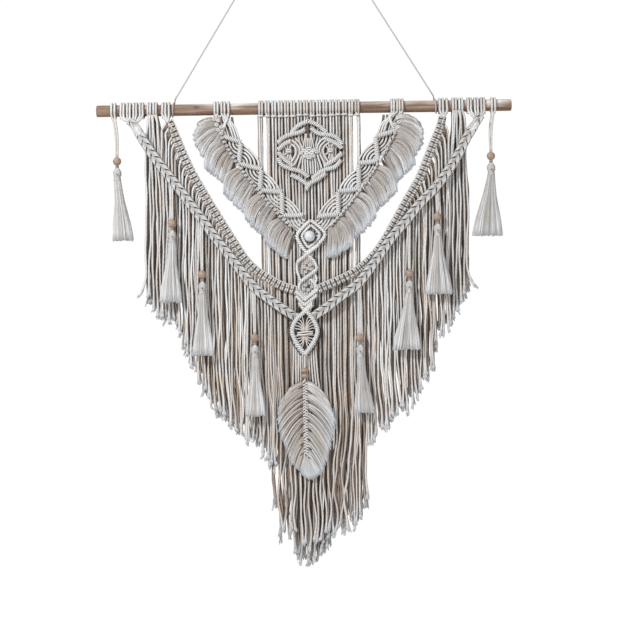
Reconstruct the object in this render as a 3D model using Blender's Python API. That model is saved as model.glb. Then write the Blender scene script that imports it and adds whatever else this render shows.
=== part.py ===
"""Macrame wall hanging of cotton cord on a round wooden rod, with its hanging cord.

X runs along the rod, Y from the room (minus) to the wall (plus) and Z up.
The origin is where the hanging cord bears on what holds it, so all else hangs below.
Tables give a place as X and DROP, its depth below the rod's axis, both in millimetres.
"""

import math

import bmesh
import bpy
from mathutils import Vector

MM = 0.001

# Rod and the cord it hangs from
ROD_DROP = 0.313
ROD_LENGTH = 0.600
ROD_RADIUS = 0.0085
ROD_SIDES = 12
HANGER_RADIUS = 0.0011
HANGER_X = (-0.1892, 0.1905)
NAIL_RADIUS = 0.004
NAIL_ARC = 72
TURN_STEP = 37
TURN_POINTS = 10

# Cord, knots and the clearance between pieces
GAP = 0.0003
STRAND_HALF = 0.00175
FRINGE_HALF = 0.0020
RIDGE_HALF = 0.0032
RIDGE_SIDES = 4
ROOT_DROP = 15.0
HITCH = 0.0048
RIDGE_STEP = 0.0068
WRAP_CREST = 0.0129
WRAP_VALLEY = 0.0119
WRAP_BORE = 0.00955
WRAP_STEPS = 8

# Middle of each layer, from the rod's axis towards the room
PANEL_Y = -0.0092
MOTIF_Y = -0.0106
FRINGE_Y = -0.0134
SWAG_Y = -0.0145
BRAID_Y = -0.0208
FEATHER_Y = -0.0197
TASSEL_Y = -0.0236
STONE_Y = -0.01905

# Swag band, braid and feather
BAND_HALF_WIDTH = 0.0062
BAND_HALF_DEPTH = 0.0036
BRAID_HALF_WIDTH = 0.0072
BRAID_HALF_DEPTH = 0.0036
BRAID_STEP = 0.0100
BRAID_RELIEF = 0.0006
BARB_STEP = 0.0110

# Beads
BEAD_RADIUS = 0.0061
BEAD_HOLE = 0.0026
BEAD_STEPS = 8
STONE_RADIUS = 0.0078
TASSEL_CORD_HALF = 0.0020

# Wraps on the rod: first X, last X, how many ribs, strands from each rib
WRAPS = {
    "centre": (-66.6, 81.4, 16, 2),
    "left_garland": (-131.4, -106.6, 3, 2),
    "right_garland": (124.2, 144.4, 3, 2),
    "left_swag": (-206.6, -192.0, 3, 1),
    "right_swag": (193.4, 208.6, 3, 1),
    "left_side": (-227.4, -210.4, 2, 2),
    "right_side": (212.4, 231.4, 2, 2),
    "left_braid": (-266.2, -229.8, 4, 2),
    "right_braid": (234.6, 262.6, 3, 2),
    "left_tassel": (-281.2, -271.6, 1, 1),
    "right_tassel": (266.6, 276.9, 1, 1),
}

# Lower ends of the hanging strands: X, DROP
TIPS = (
    (-228, 270), (-216, 291), (-207, 300), (-186, 308), (-176, 340), (-147, 411),
    (-132, 438), (-106, 464), (-80, 478), (-62, 500), (-50, 519), (-46, 616),
    (-29, 616), (-22, 645), (-4, 654), (6, 652), (21, 642), (31, 618),
    (48, 612), (62, 605), (78, 582), (82, 490), (95, 472), (111, 462),
    (128, 438), (148, 431), (168, 397), (183, 375), (189, 335), (207, 310),
    (219, 288), (234, 264),
)

# Inner swag, a flat knotted band: X, DROP
SWAGS = {
    "left": ((-195, 17), (-190, 27), (-179, 57), (-164, 91), (-148, 120), (-127, 156),
             (-95, 208), (-78, 229), (-60, 243), (-38, 256), (-19.5, 262.5)),
    "right": ((200, 17), (196, 32), (181, 68), (166, 104), (147, 136), (129, 168),
              (111, 198), (92, 221), (71, 238), (47, 250), (21.5, 260.5)),
}
SWAG_FRINGE = {"left": (-204, -47, 29), "right": (206, 62, 27)}
FRINGE_LEVELS = (230, 420)
ROOT_OFFSET = 1.8

# Outer swag, a flat plait: X, DROP
BRAIDS = {
    "left": ((-251, 16), (-243, 24), (-231, 45), (-215, 70), (-198, 93), (-180, 116),
             (-163, 140), (-146, 163), (-130, 186), (-105, 219), (-77, 256), (-57, 273),
             (-37, 288), (-19, 300)),
    "right": ((254, 16), (249, 24), (235, 45), (220, 73), (205, 96), (186, 120),
              (164, 142), (145, 165), (123, 190), (106, 214), (79, 250), (65, 262),
              (46, 275), (29, 288), (12.5, 299)),
}

# Leaf motif of knotted ridges on the centre panel: X, DROP of each ridge's points
MOTIF = (
    ((5.7, 20), (-8, 26), (-19, 36.6)),
    ((5.7, 20), (20, 26), (31.4, 36)),
    ((1.5, 31.2), (-18, 37.5), (-38, 50.7)),
    ((9.9, 30), (35, 40), (54, 54)),
    ((-19, 48), (-29, 52.5), (-38, 60.8)),
    ((-38, 63.7), (-29, 74.5), (-17, 84)),
    ((27, 44.5), (41, 50), (54, 59.5)),
    ((54, 66.5), (42, 77), (28, 85)),
    ((-38, 72.3), (-20, 88.4), (4.5, 100.3)),
    ((52.4, 76.6), (30, 92), (10.2, 103.3)),
    ((-20, 97), (-8, 103), (3, 111)),
    ((30.5, 95), (17, 104.5), (2.8, 114.7)),
)
MOTIF_KNOT = ((-6, 65.8), (18.5, 65.8))
MOTIF_KNOT_HALF = 0.0046

# Zigzag ridges of the garland's arms: X, DROP of both ends
ZIGZAG = {
    "left": (
        ((-117, 40.5), (-92, 48.5)), ((-91.5, 50), (-94.5, 78)),
        ((-95, 80), (-62.5, 88)), ((-62.5, 89), (-65, 116)),
        ((-66, 118.5), (-34, 121.5)), ((-33.5, 122), (-33.7, 153)),
        ((-35, 156), (-4, 155)),
    ),
    "right": (
        ((128, 37), (103, 43.5)), ((102.5, 45), (105, 77)),
        ((106, 79), (78.5, 81.5)), ((77.5, 83), (77.5, 117)),
        ((78.5, 119), (48, 121.5)), ((47, 123), (47.5, 153)),
        ((48.5, 155), (17.5, 157)),
    ),
}
ARC_CENTRES = {
    "left": ((-93.5, 79), (-65, 118), (-34, 155.5)),
    "right": ((105, 78.5), (77.5, 119), (47.5, 155)),
}
ARC_RADII = (0.0135, 0.0205, 0.0275)
GARLAND_EDGE = {
    "left": ((-127, 19), (-118, 40), (-96, 79), (-67, 117), (-35, 156), (-19, 171)),
    "right": ((138, 19), (130, 37), (107, 78), (79, 118), (49, 155), (33.5, 171)),
}
# Garland fringe along each arm's edge: root X, DROP, length, lean from upright in degrees
LOBES = {
    "left": (
        (-129.7, 23.7, 30, 50), (-123.7, 37.7, 37, 38), (-115.5, 54.5, 39, 31),
        (-106.5, 70.5, 40, 27), (-94.1, 88.6, 40, 24), (-81.9, 104.6, 41, 22),
        (-69.5, 120.7, 43, 20), (-53.9, 139.7, 43, 17), (-39.9, 156.7, 45, 14),
        (-26.3, 170.1, 38, 10),
    ),
    "right": (
        (140.6, 23.8, 32, 50), (134.2, 38.1, 38, 38), (125.4, 54.1, 39, 31),
        (116.4, 70.1, 40, 27), (104.9, 88.5, 40, 24), (93.7, 104.5, 41, 22),
        (82.5, 120.5, 43, 20), (66.9, 139.7, 43, 17), (53.1, 156.7, 45, 14),
        (40.5, 170.0, 38, 10),
    ),
}
LOCKS_PER_STEP = 2
LOCK_HALF = 0.0026
STRIP_HALF = 0.0012

# Centre column: X, DROP along each knotted bar, and its depth
COLUMN = (
    (((7, 163), (-3, 172), (-12.6, 184.4), (-8, 197), (0.3, 209)), -0.0145),
    (((8, 163), (19, 172), (27.7, 183.5), (18, 197), (1.7, 209)), -0.0145),
    (((0.6, 209), (-9, 218), (-12, 229), (-5, 238), (1, 244)), -0.0145),
    (((1.2, 209), (11, 218), (15, 229), (8, 238), (1, 244)), -0.0145),
    (((1, 244), (-8, 251), (-12, 259), (-8, 267), (-1, 274)), -0.0145),
    (((1, 244), (10, 251), (14.5, 259), (9, 267), (0, 274)), -0.0145),
    (((-15.5, 264), (-2.5, 277), (17, 262)), -0.0150),
    (((-15, 271.5), (-2.6, 284.7), (15, 270.5)), -0.0160),
    (((-11, 281), (-3.5, 292), (8.5, 281)), -0.0178),
    (((-3.2, 291), (-16, 306), (-21.9, 322), (-16, 338), (-4.4, 355)), -0.0197),
    (((-2.2, 291), (9, 306), (14.8, 322), (9, 338), (-3.4, 355)), -0.0197),
)
COLUMN_FILL = (
    (((1, 211), (1, 227), (1, 242)), 0.0042, -0.0145),
    (((1, 246), (1, 259), (1, 272)), 0.0042, -0.0145),
    (((-9, 267), (-6, 287)), 0.0021, -0.0160),
    (((5, 267), (2, 287)), 0.0021, -0.0160),
    (((-3, 298), (-10, 311), (-6, 325), (-11, 338), (-4, 352)), 0.0017, -0.0190),
    (((-3, 298), (4, 311), (0, 325), (4, 338), (-4, 352)), 0.0017, -0.0190),
    (((-11, 326), (6.5, 324)), 0.0031, -0.0197),
)

# Feather, left and right: root DROP, tip X, tip DROP
FEATHER_TOP = 394.0
FEATHER_END = 502.0
CORD_END = 356.4
BARBS = {
    "left": ((397, -33, 411), (408, -42, 428), (419, -45, 443), (430, -43, 458),
             (441, -40, 472), (452, -36, 485), (463, -31, 498), (474, -26, 510),
             (485, -19, 521), (496, -11.5, 530)),
    "right": ((397, 24, 414), (408, 34, 434), (419, 38, 450), (430, 36, 465),
              (441, 34, 479), (452, 30, 492), (463, 26, 504), (474, 21, 515),
              (485, 14.5, 525), (496, 7.5, 532)),
}
FEATHER_X = -4.5
FEATHER_BEADS = (378.6, 386.6)
FEATHER_BEAD_HALF = 0.0037
FEATHER_CORD_HALF = 0.0014

# Tassels: bead X, bead DROP, skirt's lower end DROP, its left X, its right X, cord's top X, DROP
TASSELS = {
    "outer_left": (-270.4, 73.5, 187, -278, -249, None, None),
    "outer_right": (268.6, 74, 188, 241, 283, None, None),
    "left_1": (-191.6, 165, 277, -210, -180, -191.6, 115.5),
    "left_2": (-149.6, 239, 354, -164, -135, -149.6, 173.5),
    "left_3": (-75.4, 331, 442, -89, -62.5, -75.4, 270.0),
    "right_1": (189.4, 161, 271, 172, 208, 189.4, 129.8),
    "right_2": (147.8, 242, 350, 123, 162, 147.8, 175.2),
    "right_3": (75.6, 333, 439.5, 67, 93, 75.6, 265.4),
}
HEAD_START = 0.0105
HEAD_RINGS = ((0.0, 0.0030), (0.0020, 0.0054), (0.0085, 0.0056), (0.0115, 0.0045),
              (0.0145, 0.0052), (0.0180, 0.0058))
SKIRT_DEPTH = 0.0056
SKIRT_LOCKS = 6
SKIRT_FILL = 0.40
HEAD_FLATNESS = 0.85

COTTON = (0.71, 0.66, 0.61, 1.0)
WOOD = (0.37, 0.23, 0.15, 1.0)
BEAD_WOOD = (0.50, 0.34, 0.23, 1.0)
STONE = (0.86, 0.86, 0.85, 1.0)


def clear_scene():
    for thing in list(bpy.data.objects):
        bpy.data.objects.remove(thing, do_unlink=True)


def collection(name):
    made = bpy.data.collections.new(name)
    bpy.context.scene.collection.children.link(made)
    return made


def material(name, colour, roughness):
    made = bpy.data.materials.new(name)
    made.use_nodes = True
    shader = made.node_tree.nodes["Principled BSDF"]
    shader.inputs["Base Color"].default_value = colour
    shader.inputs["Roughness"].default_value = roughness
    shader.inputs["Metallic"].default_value = 0.0
    return made


def at(x, drop, y):
    """A place given in millimetres along the rod and below its axis, y in metres."""
    return Vector((x * MM, y, -ROD_DROP - drop * MM))


def read_table(rows, x):
    """The second column of rows at x, straight between its neighbours."""
    if x <= rows[0][0]:
        return rows[0][1]
    for (x0, d0), (x1, d1) in zip(rows, rows[1:]):
        if x <= x1:
            return d0 + (d1 - d0) * (x - x0) / (x1 - x0)
    return rows[-1][1]


def smooth(points, step):
    """Points about step apart on a smooth curve through the given ones."""
    ends = [points[0] * 2 - points[1], *points, points[-1] * 2 - points[-2]]
    fine = []
    for a, b, c, d in zip(ends, ends[1:], ends[2:], ends[3:]):
        for k in range(12):
            t = k / 12
            fine.append(
                (b * 2 + (c - a) * t + (a * 2 - b * 5 + c * 4 - d) * t * t
                 + (b * 3 - a - c * 3 + d) * t ** 3) / 2
            )
    fine.append(points[-1])
    run = [0.0]
    for p, q in zip(fine, fine[1:]):
        run.append(run[-1] + (q - p).length)
    count = max(1, round(run[-1] / step))
    spaced, k = [], 0
    for i in range(count + 1):
        want = run[-1] * i / count
        while k < len(run) - 2 and run[k + 1] < want:
            k += 1
        share = (want - run[k]) / max(run[k + 1] - run[k], 1e-9)
        spaced.append(fine[k].lerp(fine[k + 1], min(share, 1.0)))
    return spaced


def lay_along(bm, route, half_width, half_depth, sides):
    """A closed cylinder, cut into rings and laid along route, its width across the route.

    half_width and half_depth are functions of the ring's number. Returns the new vertices
    with each one's ring number and angle."""
    bmesh.ops.create_cone(
        bm, cap_ends=True, segments=sides, radius1=1.0, radius2=1.0, depth=1.0
    )
    cells = len(route) - 1
    turn = math.pi / sides
    if cells > 1:
        long_edges = [e for e in bm.edges if abs(e.verts[0].co.z - e.verts[1].co.z) > 0.5]
        bmesh.ops.subdivide_edges(bm, edges=long_edges, cuts=cells - 1)
    places = []
    for v in bm.verts:
        ring = round((v.co.z + 0.5) * cells)
        angle = math.atan2(v.co.y, v.co.x) + turn
        before, after = route[max(ring - 1, 0)], route[min(ring + 1, cells)]
        tangent = (after - before).normalized()
        front = Vector((0, -1, 0))
        if abs(tangent.dot(front)) > 0.9:
            front = Vector((0, 0, 1))
        across = tangent.cross(front).normalized()
        front = across.cross(tangent).normalized()
        places.append((v, ring, angle))
        v.co = (
            route[ring]
            + across * math.cos(angle) * half_width(ring)
            + front * math.sin(angle) * half_depth(ring)
        )
    return places


def steady(size):
    return lambda ring: size


def rounded(size, cells, end=0.6):
    """A ridged knot's thickness: every other ring is drawn in, and so are the ends."""
    def half(ring):
        if ring in (0, cells):
            return size * end
        return size if ring % 2 else size * 0.84
    return half


def draw_out(bm, face, stations, upper=None):
    """Extrude a face into a four-sided strand through stations (centre, side, depth).

    upper, if given, is the direction whose edge of the face becomes the strand's outer side."""
    middle = face.calc_center_median()
    _, side, depth = stations[0]
    order = []
    for v in face.verts:
        off = v.co - middle
        order.append((
            1 if off.dot(side) > 0 else -1,
            1 if off.dot(upper or depth) > 0 else -1,
        ))
    for centre, side, depth in stations:
        face = bmesh.ops.extrude_discrete_faces(bm, faces=[face])["faces"][0]
        for v, (s, d) in zip(face.verts, order):
            v.co = centre + side * s + depth * d
    return face


def hanging(centres, half, tip=0.75):
    """Stations of a strand that hangs, level across, narrower at its cut end."""
    made = []
    for k, centre in enumerate(centres):
        size = half * (tip if k == len(centres) - 1 else 1.0)
        made.append((centre, Vector((size, 0, 0)), Vector((0, size, 0))))
    return made


def finish(bm, name):
    bmesh.ops.recalc_face_normals(bm, faces=bm.faces)
    mesh = bpy.data.meshes.new(name)
    bm.to_mesh(mesh)
    bm.free()
    mesh.shade_smooth()
    mesh.set_sharp_from_angle(angle=math.radians(50))
    return mesh


def place(mesh, name, finish_material):
    made = bpy.data.objects.new(name, mesh)
    if not mesh.materials:
        mesh.materials.append(finish_material)
    PARTS.objects.link(made)
    return made


def fuse(body, pieces):
    """Join other closed shapes to a body with one union."""
    group = bpy.data.collections.new(body.name + "_joined")
    CUTTERS.children.link(group)
    for k, mesh in enumerate(pieces):
        mesh.materials.append(body.data.materials[0])
        made = bpy.data.objects.new(f"{body.name}_joined_{k}", mesh)
        made.hide_render = True
        made.display_type = "WIRE"
        group.objects.link(made)
    union = body.modifiers.new("Fused", "BOOLEAN")
    union.operation = "UNION"
    union.operand_type = "COLLECTION"
    union.collection = group
    union.solver = "EXACT"


def sway(drop):
    """The slow sideways wander that hanging strands share, in metres."""
    return 0.0012 * math.sin(drop / 61.0) + 0.0008 * math.sin(drop / 23.0 + 1.0)


def wraps(bm, name):
    """Cord passes round the rod as one ribbed sleeve. Returns a lower front face and its X
    for each strand that leaves it."""
    first, last, count, strands = WRAPS[name]
    pitch = (last - first) / count
    outline = []
    for k in range(count):
        outline.append((first + pitch * k, WRAP_VALLEY))
        outline.append((first + pitch * (k + 0.5), WRAP_CREST))
    outline += [(last, WRAP_VALLEY), (last, WRAP_BORE), (first, WRAP_BORE)]
    lean = math.pi / WRAP_STEPS
    up = Vector((0, -math.sin(lean), math.cos(lean)))
    ring = [bm.verts.new(at(x, 0, 0) + up * radius) for x, radius in outline]
    edges = [bm.edges.new((p, q)) for p, q in zip(ring, ring[1:] + ring[:1])]
    bmesh.ops.spin(
        bm, geom=ring + edges, cent=at(0, 0, 0), axis=(1, 0, 0), dvec=(0, 0, 0),
        angle=math.tau, steps=WRAP_STEPS, use_merge=True, use_duplicate=False,
    )
    bmesh.ops.recalc_face_normals(bm, faces=bm.faces)
    roots = []
    for face in bm.faces:
        normal, middle = face.normal, face.calc_center_median()
        outside = math.hypot(middle.y, middle.z + ROD_DROP) > (WRAP_BORE + WRAP_VALLEY) / 2
        if outside and normal.y < -0.5 and normal.z < -0.5 and (normal.x < 0 or strands == 2):
            roots.append(face)
    roots.sort(key=lambda f: f.calc_center_median().x)
    step = pitch / strands
    return roots, [first + step * (k + 0.5) for k in range(count * strands)]


def make_rod():
    """A round rod with worn ends and slight flats, as wood has."""
    stations = (0, 2.5, 140, 300, 460, 597.5, 600)
    bm = bmesh.new()
    route = [at(s - ROD_LENGTH / MM / 2, 0, 0) for s in stations]

    def half(ring):
        if ring in (0, len(stations) - 1):
            return ROD_RADIUS * 0.86
        return ROD_RADIUS * (1.0 - 0.012 * (ring % 3))

    lay_along(bm, route, half, half, ROD_SIDES)
    place(finish(bm, "rod"), "rod", material("weathered_wood", WOOD, 0.75))


def rod_turn(x, way):
    """Points of one turn of the hanging cord round the rod, then of its rise from it."""
    reach = (ROD_RADIUS + GAP) / math.cos(math.radians(TURN_STEP / 2)) + HANGER_RADIUS
    points = []
    for k in range(TURN_POINTS):
        angle = math.radians(-60 - TURN_STEP * k)
        spot = at(x / MM, 0, 0) + Vector((0, -math.sin(angle), math.cos(angle))) * reach
        spot.x += way * HANGER_RADIUS * (1.1 - 2.2 * k / TURN_POINTS)
        points.append(spot)
    points.append(at(x / MM - way * 3.5, -14.5, -0.0052))
    return points


def make_hanging_cord(cotton):
    """A thin cord, turned once round the rod at each end and taut over the nail."""
    left, right = HANGER_X
    start, landing = rod_turn(left, -1), rod_turn(right, 1)
    over = []
    for k in range(-3, 4):
        angle = math.radians(NAIL_ARC) * k / 3
        spot = Vector((math.sin(angle), 0, math.cos(angle))) * (NAIL_RADIUS + HANGER_RADIUS)
        over.append(spot - Vector((0, 0, NAIL_RADIUS)))
    rise = [start[-1].lerp(over[0], share) for share in (0.33, 0.66)]
    fall = [over[-1].lerp(landing[-1], share) for share in (0.33, 0.66)]
    points = start + rise + over + fall + landing[::-1]
    curve = bpy.data.curves.new("hanging_cord", "CURVE")
    curve.dimensions = "3D"
    curve.bevel_depth = HANGER_RADIUS
    curve.bevel_resolution = 2
    curve.use_fill_caps = True
    line = curve.splines.new("POLY")
    line.points.add(len(points) - 1)
    for target, p in zip(line.points, points):
        target.co = (*p, 1)
    curve.materials.append(cotton)
    made = bpy.data.objects.new("hanging_cord", curve)
    PARTS.objects.link(made)
    weld = made.modifiers.new("Weld caps", "WELD")
    weld.merge_threshold = 0.00001


def centre_strand(x, drop):
    """Where a centre strand that leaves the rod at x hangs at a drop: the panel narrows."""
    narrow = 1.0 - 0.13 * min(1.0, drop / 600.0)
    return 7.4 + (x - 7.4) * narrow + 1.2 * min(1.0, drop / 600.0)


def make_centre_panel(cotton):
    bm = bmesh.new()
    roots, middles = wraps(bm, "centre")
    for k, (face, x) in enumerate(zip(roots, middles)):
        tip = read_table(TIPS, centre_strand(x, 500.0)) + 5.0 * math.sin(k * 2.4)
        drops = [ROOT_DROP, 240.0, 440.0]
        drops = [d for d in drops if d < tip - 40.0] + [tip]
        centres = []
        for drop in drops:
            spot = at(centre_strand(x, drop), drop, PANEL_Y)
            spot.x += sway(drop)
            centres.append(spot)
        draw_out(bm, face, hanging(centres, STRAND_HALF))
    body = place(finish(bm, "centre_panel"), "centre_panel", cotton)
    pieces = []
    for points in MOTIF:
        bm = bmesh.new()
        route = smooth([at(x, d, MOTIF_Y) for x, d in points], RIDGE_STEP)
        half = rounded(RIDGE_HALF, len(route) - 1)
        lay_along(bm, route, half, half, RIDGE_SIDES)
        pieces.append(finish(bm, "ridge"))
    bm = bmesh.new()
    route = smooth([at(x, d, MOTIF_Y) for x, d in MOTIF_KNOT], HITCH)
    half = rounded(MOTIF_KNOT_HALF, len(route) - 1)
    lay_along(bm, route, half, rounded(RIDGE_HALF, len(route) - 1), RIDGE_SIDES)
    pieces.append(finish(bm, "knot"))
    fuse(body, pieces)


def make_side_strands(side, cotton):
    """Strands that hang from the rod behind the plait, outside the fringe."""
    bm = bmesh.new()
    roots, middles = wraps(bm, side + "_side")
    for k, (face, x) in enumerate(zip(roots, middles)):
        tip = read_table(TIPS, x) + 4.0 * math.sin(k * 2.1)
        centres = []
        for drop in (ROOT_DROP, 140.0, tip):
            spot = at(x, drop, PANEL_Y)
            spot.x += sway(drop)
            centres.append(spot)
        draw_out(bm, face, hanging(centres, STRAND_HALF))
    place(finish(bm, side + "_strands"), side + "_strands", cotton)


def make_swag(side, cotton):
    """A flat knotted band with its fringe of strands, hung from a few wraps."""
    bm = bmesh.new()
    roots, middles = wraps(bm, side + "_swag")
    start = SWAGS[side][0][0]
    for face, x in zip(roots, middles):
        low = start + (x - start) * 0.45
        draw_out(bm, face, [
            (at(x, 14.5, -0.0115), Vector((STRAND_HALF, 0, 0)), Vector((0, STRAND_HALF, 0))),
            (at(low, 22.0, SWAG_Y), Vector((0.0009, 0, 0)), Vector((0, STRAND_HALF, 0))),
        ])
    body = place(finish(bm, side + "_swag"), side + "_swag", cotton)

    bm = bmesh.new()
    route = smooth([at(x, d, SWAG_Y) for x, d in SWAGS[side]], HITCH)
    cells = len(route) - 1
    lay_along(bm, route, rounded(BAND_HALF_WIDTH, cells), rounded(BAND_HALF_DEPTH, cells), 4)
    bmesh.ops.recalc_face_normals(bm, faces=bm.faces)
    outward = -1 if side == "left" else 1
    lower = {}
    for face in bm.faces:
        if len(face.verts) != 4:
            continue
        middle = face.calc_center_median()
        ring = min(range(cells), key=lambda i: (middle - (route[i] + route[i + 1]) / 2).length)
        across = (route[ring + 1] - route[ring]).cross(Vector((0, -1, 0))).normalized()
        if across.x * outward < 0:
            across = -across
        score = face.normal.dot(across) + face.normal.y * 0.2
        if score > lower.get(ring, (0.0, None))[0]:
            lower[ring] = (score, face)
    first, last, count = SWAG_FRINGE[side]
    ring = 0
    for k in range(count):
        x = first + (last - first) * k / (count - 1)
        free = range(ring + 1, cells - 1)
        root_x = x - outward * ROOT_OFFSET
        ring = min(free, key=lambda i: abs(lower[i][1].calc_center_median().x / MM - root_x))
        face = lower[ring][1]
        middle = face.calc_center_median()
        start = -(middle.z + ROD_DROP) / MM
        near = at(x, start + 6.0, (middle.y + FRINGE_Y) / 2)
        near.x += sway(start)
        tip = read_table(TIPS, x) + 5.0 * math.sin(k * 2.3)
        centres = []
        for drop in [d for d in FRINGE_LEVELS if start + 30 < d < tip - 40] + [tip]:
            spot = at(x, drop, FRINGE_Y)
            spot.x += sway(drop)
            centres.append(spot)
        stations = [(near, Vector((0.0014, 0, 0)), Vector((0, 0.0014, 0)))]
        draw_out(bm, face, stations + hanging(centres, FRINGE_HALF))
    fuse(body, [finish(bm, side + "_band")])


def make_braid(side, cotton):
    """The outer swag: strands fan from the rod into a flat plait."""
    bm = bmesh.new()
    roots, middles = wraps(bm, side + "_braid")
    start = BRAIDS[side][1]
    for k, (face, x) in enumerate(zip(roots, middles)):
        share = (k + 0.5) / len(roots) - 0.5
        meet = at(start[0] + share * 11.0, start[1] + 2.0 + abs(share) * 5.0, BRAID_Y + 0.001)
        ends = (at(x * 0.93 + start[0] * 0.07, 14.5, -0.0125), meet)
        half = STRAND_HALF * 0.95
        stations = [
            (ends[0], Vector((half, 0, 0)), Vector((0, half, 0))),
            (ends[1], Vector((half * 0.3, 0, 0)), Vector((0, half * 0.8, 0))),
        ]
        draw_out(bm, face, stations)
    body = place(finish(bm, side + "_braid"), side + "_braid", cotton)

    bm = bmesh.new()
    route = smooth([at(x, d, BRAID_Y) for x, d in BRAIDS[side]], BRAID_STEP)
    cells = len(route) - 1

    def wide(ring):
        return BRAID_HALF_WIDTH * (0.62 if ring in (0, cells) else 1.0)

    def deep(ring):
        return BRAID_HALF_DEPTH * (0.62 if ring in (0, cells) else 1.0)

    for v, ring, angle in lay_along(bm, route, wide, deep, 6):
        if math.sin(angle) > 0.5:
            column = round(abs(math.cos(angle)) * 2.6)
            v.co.y += BRAID_RELIEF * (1 if (ring + column) % 2 else -1)
    fuse(body, [finish(bm, side + "_plait")])


def make_garland_arm(side, cotton):
    """A zigzag of knotted ridges with arcs of strands, from the rod to the centre."""
    bm = bmesh.new()
    roots, middles = wraps(bm, side + "_garland")
    (x0, d0), (x1, d1) = ZIGZAG[side][0]
    for k, (face, x) in enumerate(zip(roots, middles)):
        share = k / (len(roots) - 1)
        if side == "right":
            share = 1.0 - share
        end = at(x0 + (x1 - x0) * share, d0 + (d1 - d0) * share, SWAG_Y + 0.0006)
        draw_out(bm, face, hanging((at(x, 14.5, -0.0112), end), STRAND_HALF * 0.85, 1.0))
    body = place(finish(bm, side + "_garland"), side + "_garland", cotton)
    pieces = []
    routes = [smooth([at(*p, SWAG_Y) for p in ends], RIDGE_STEP) for ends in ZIGZAG[side]]
    routes.append(smooth([at(*p, SWAG_Y) for p in GARLAND_EDGE[side]], RIDGE_STEP))
    for route in routes:
        bm = bmesh.new()
        half = rounded(RIDGE_HALF, len(route) - 1)
        lay_along(bm, route, half, half, RIDGE_SIDES)
        pieces.append(finish(bm, "ridge"))
    inward = 1 if side == "left" else -1
    for x, drop in ARC_CENTRES[side]:
        for k, radius in enumerate(ARC_RADII):
            bm = bmesh.new()
            route = []
            for step in range(4):
                angle = math.radians(2 + 86 * step / 3)
                route.append(
                    at(x, drop, SWAG_Y + 0.0003 * k)
                    + Vector((inward * math.sin(angle), 0, math.cos(angle))) * radius
                )
            lay_along(bm, route, steady(STRAND_HALF), steady(STRAND_HALF), 4)
            pieces.append(finish(bm, "arc"))
    fuse(body, pieces)


def make_garland_fringe(side, cotton):
    """Brushed lobes of cotton on a narrow strip along the arm's outer edge."""
    bm = bmesh.new()
    rows = LOBES[side]
    outward = -1 if side == "left" else 1
    route, locks = [], []
    for row, below in zip(rows, rows[1:]):
        for k in range(LOCKS_PER_STEP):
            share = k / LOCKS_PER_STEP
            route.append(at(*[a + (b - a) * share for a, b in zip(row[:2], below[:2])], SWAG_Y))
            share += 0.5 / LOCKS_PER_STEP
            length, lean = [a + (b - a) * share for a, b in zip(row[2:], below[2:])]
            lean = math.radians(lean)
            lobe = 1.0 + 0.07 * math.sin(math.pi * share)
            locks.append(Vector((outward * math.sin(lean), 0, -math.cos(lean))) * length * lobe * MM)
    route.append(at(rows[-1][0], rows[-1][1], SWAG_Y))
    lay_along(bm, route, steady(STRIP_HALF * 1.414), steady(STRIP_HALF * 2), 4)
    bmesh.ops.recalc_face_normals(bm, faces=bm.faces)
    faces = [f for f in bm.faces if len(f.verts) == 4]
    for k, flow in enumerate(locks):
        middle = (route[k] + route[k + 1]) / 2
        along = (route[k + 1] - route[k]).normalized()
        across = along.cross(Vector((0, -1, 0))).normalized() * outward
        across *= -1 if across.x * outward < 0 else 1
        near = [f for f in faces if (f.calc_center_median() - middle).length < 0.004]
        face = max(near, key=lambda f: f.normal.dot(across))
        faces.remove(face)
        root = face.calc_center_median()
        side_way = flow.cross(Vector((0, 1, 0))).normalized()
        side_way *= -1 if side_way.dot(along) < 0 else 1
        room = (route[k + 1] - route[k]).cross(flow.normalized()).length
        stations = []
        for share, size in ((0.25, 0.39), (1.0, 0.45)):
            spot = root + flow * share + across * 0.002 * math.sin(math.pi * share)
            depth = Vector((0, LOCK_HALF * (1.1 - share * 0.4), 0))
            stations.append((spot, side_way * room * size, depth))
        draw_out(bm, face, stations)
    place(finish(bm, side + "_garland_fringe"), side + "_garland_fringe", cotton)


def make_column(cotton):
    """Diamond round the stone bead, crossed ridges below it and the lower diamond."""
    bodies = []
    for points, y in COLUMN:
        bm = bmesh.new()
        route = smooth([at(x, d, y) for x, d in points], RIDGE_STEP)
        half = rounded(RIDGE_HALF, len(route) - 1, 0.8)
        lay_along(bm, route, half, half, RIDGE_SIDES)
        bodies.append(finish(bm, "bar"))
    for points, half, y in COLUMN_FILL:
        bm = bmesh.new()
        route = smooth([at(x, d, y) for x, d in points], RIDGE_STEP)
        lay_along(bm, route, steady(half), steady(half), RIDGE_SIDES)
        bodies.append(finish(bm, "fill"))
    body = place(bodies[0], "centre_column", cotton)
    fuse(body, bodies[1:])


def turned_bead(name, centre, radius, half_height, hole, paint):
    """A bead with a bore, its half outline spun about the upright axis."""
    bm = bmesh.new()
    outline = []
    low = math.asin(min(1.0, hole / radius))
    for k in range(4):
        angle = low + (math.pi - 2 * low) * k / 3
        outline.append((radius * math.sin(angle), half_height * math.cos(angle)))
    ring = [bm.verts.new(centre + Vector((r, 0, h))) for r, h in outline]
    edges = [bm.edges.new((p, q)) for p, q in zip(ring, ring[1:] + ring[:1])]
    bmesh.ops.spin(
        bm, geom=ring + edges, cent=centre, axis=(0, 0, 1), dvec=(0, 0, 0),
        angle=math.tau, steps=BEAD_STEPS, use_merge=True, use_duplicate=False,
    )
    place(finish(bm, name), name, paint)


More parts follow.
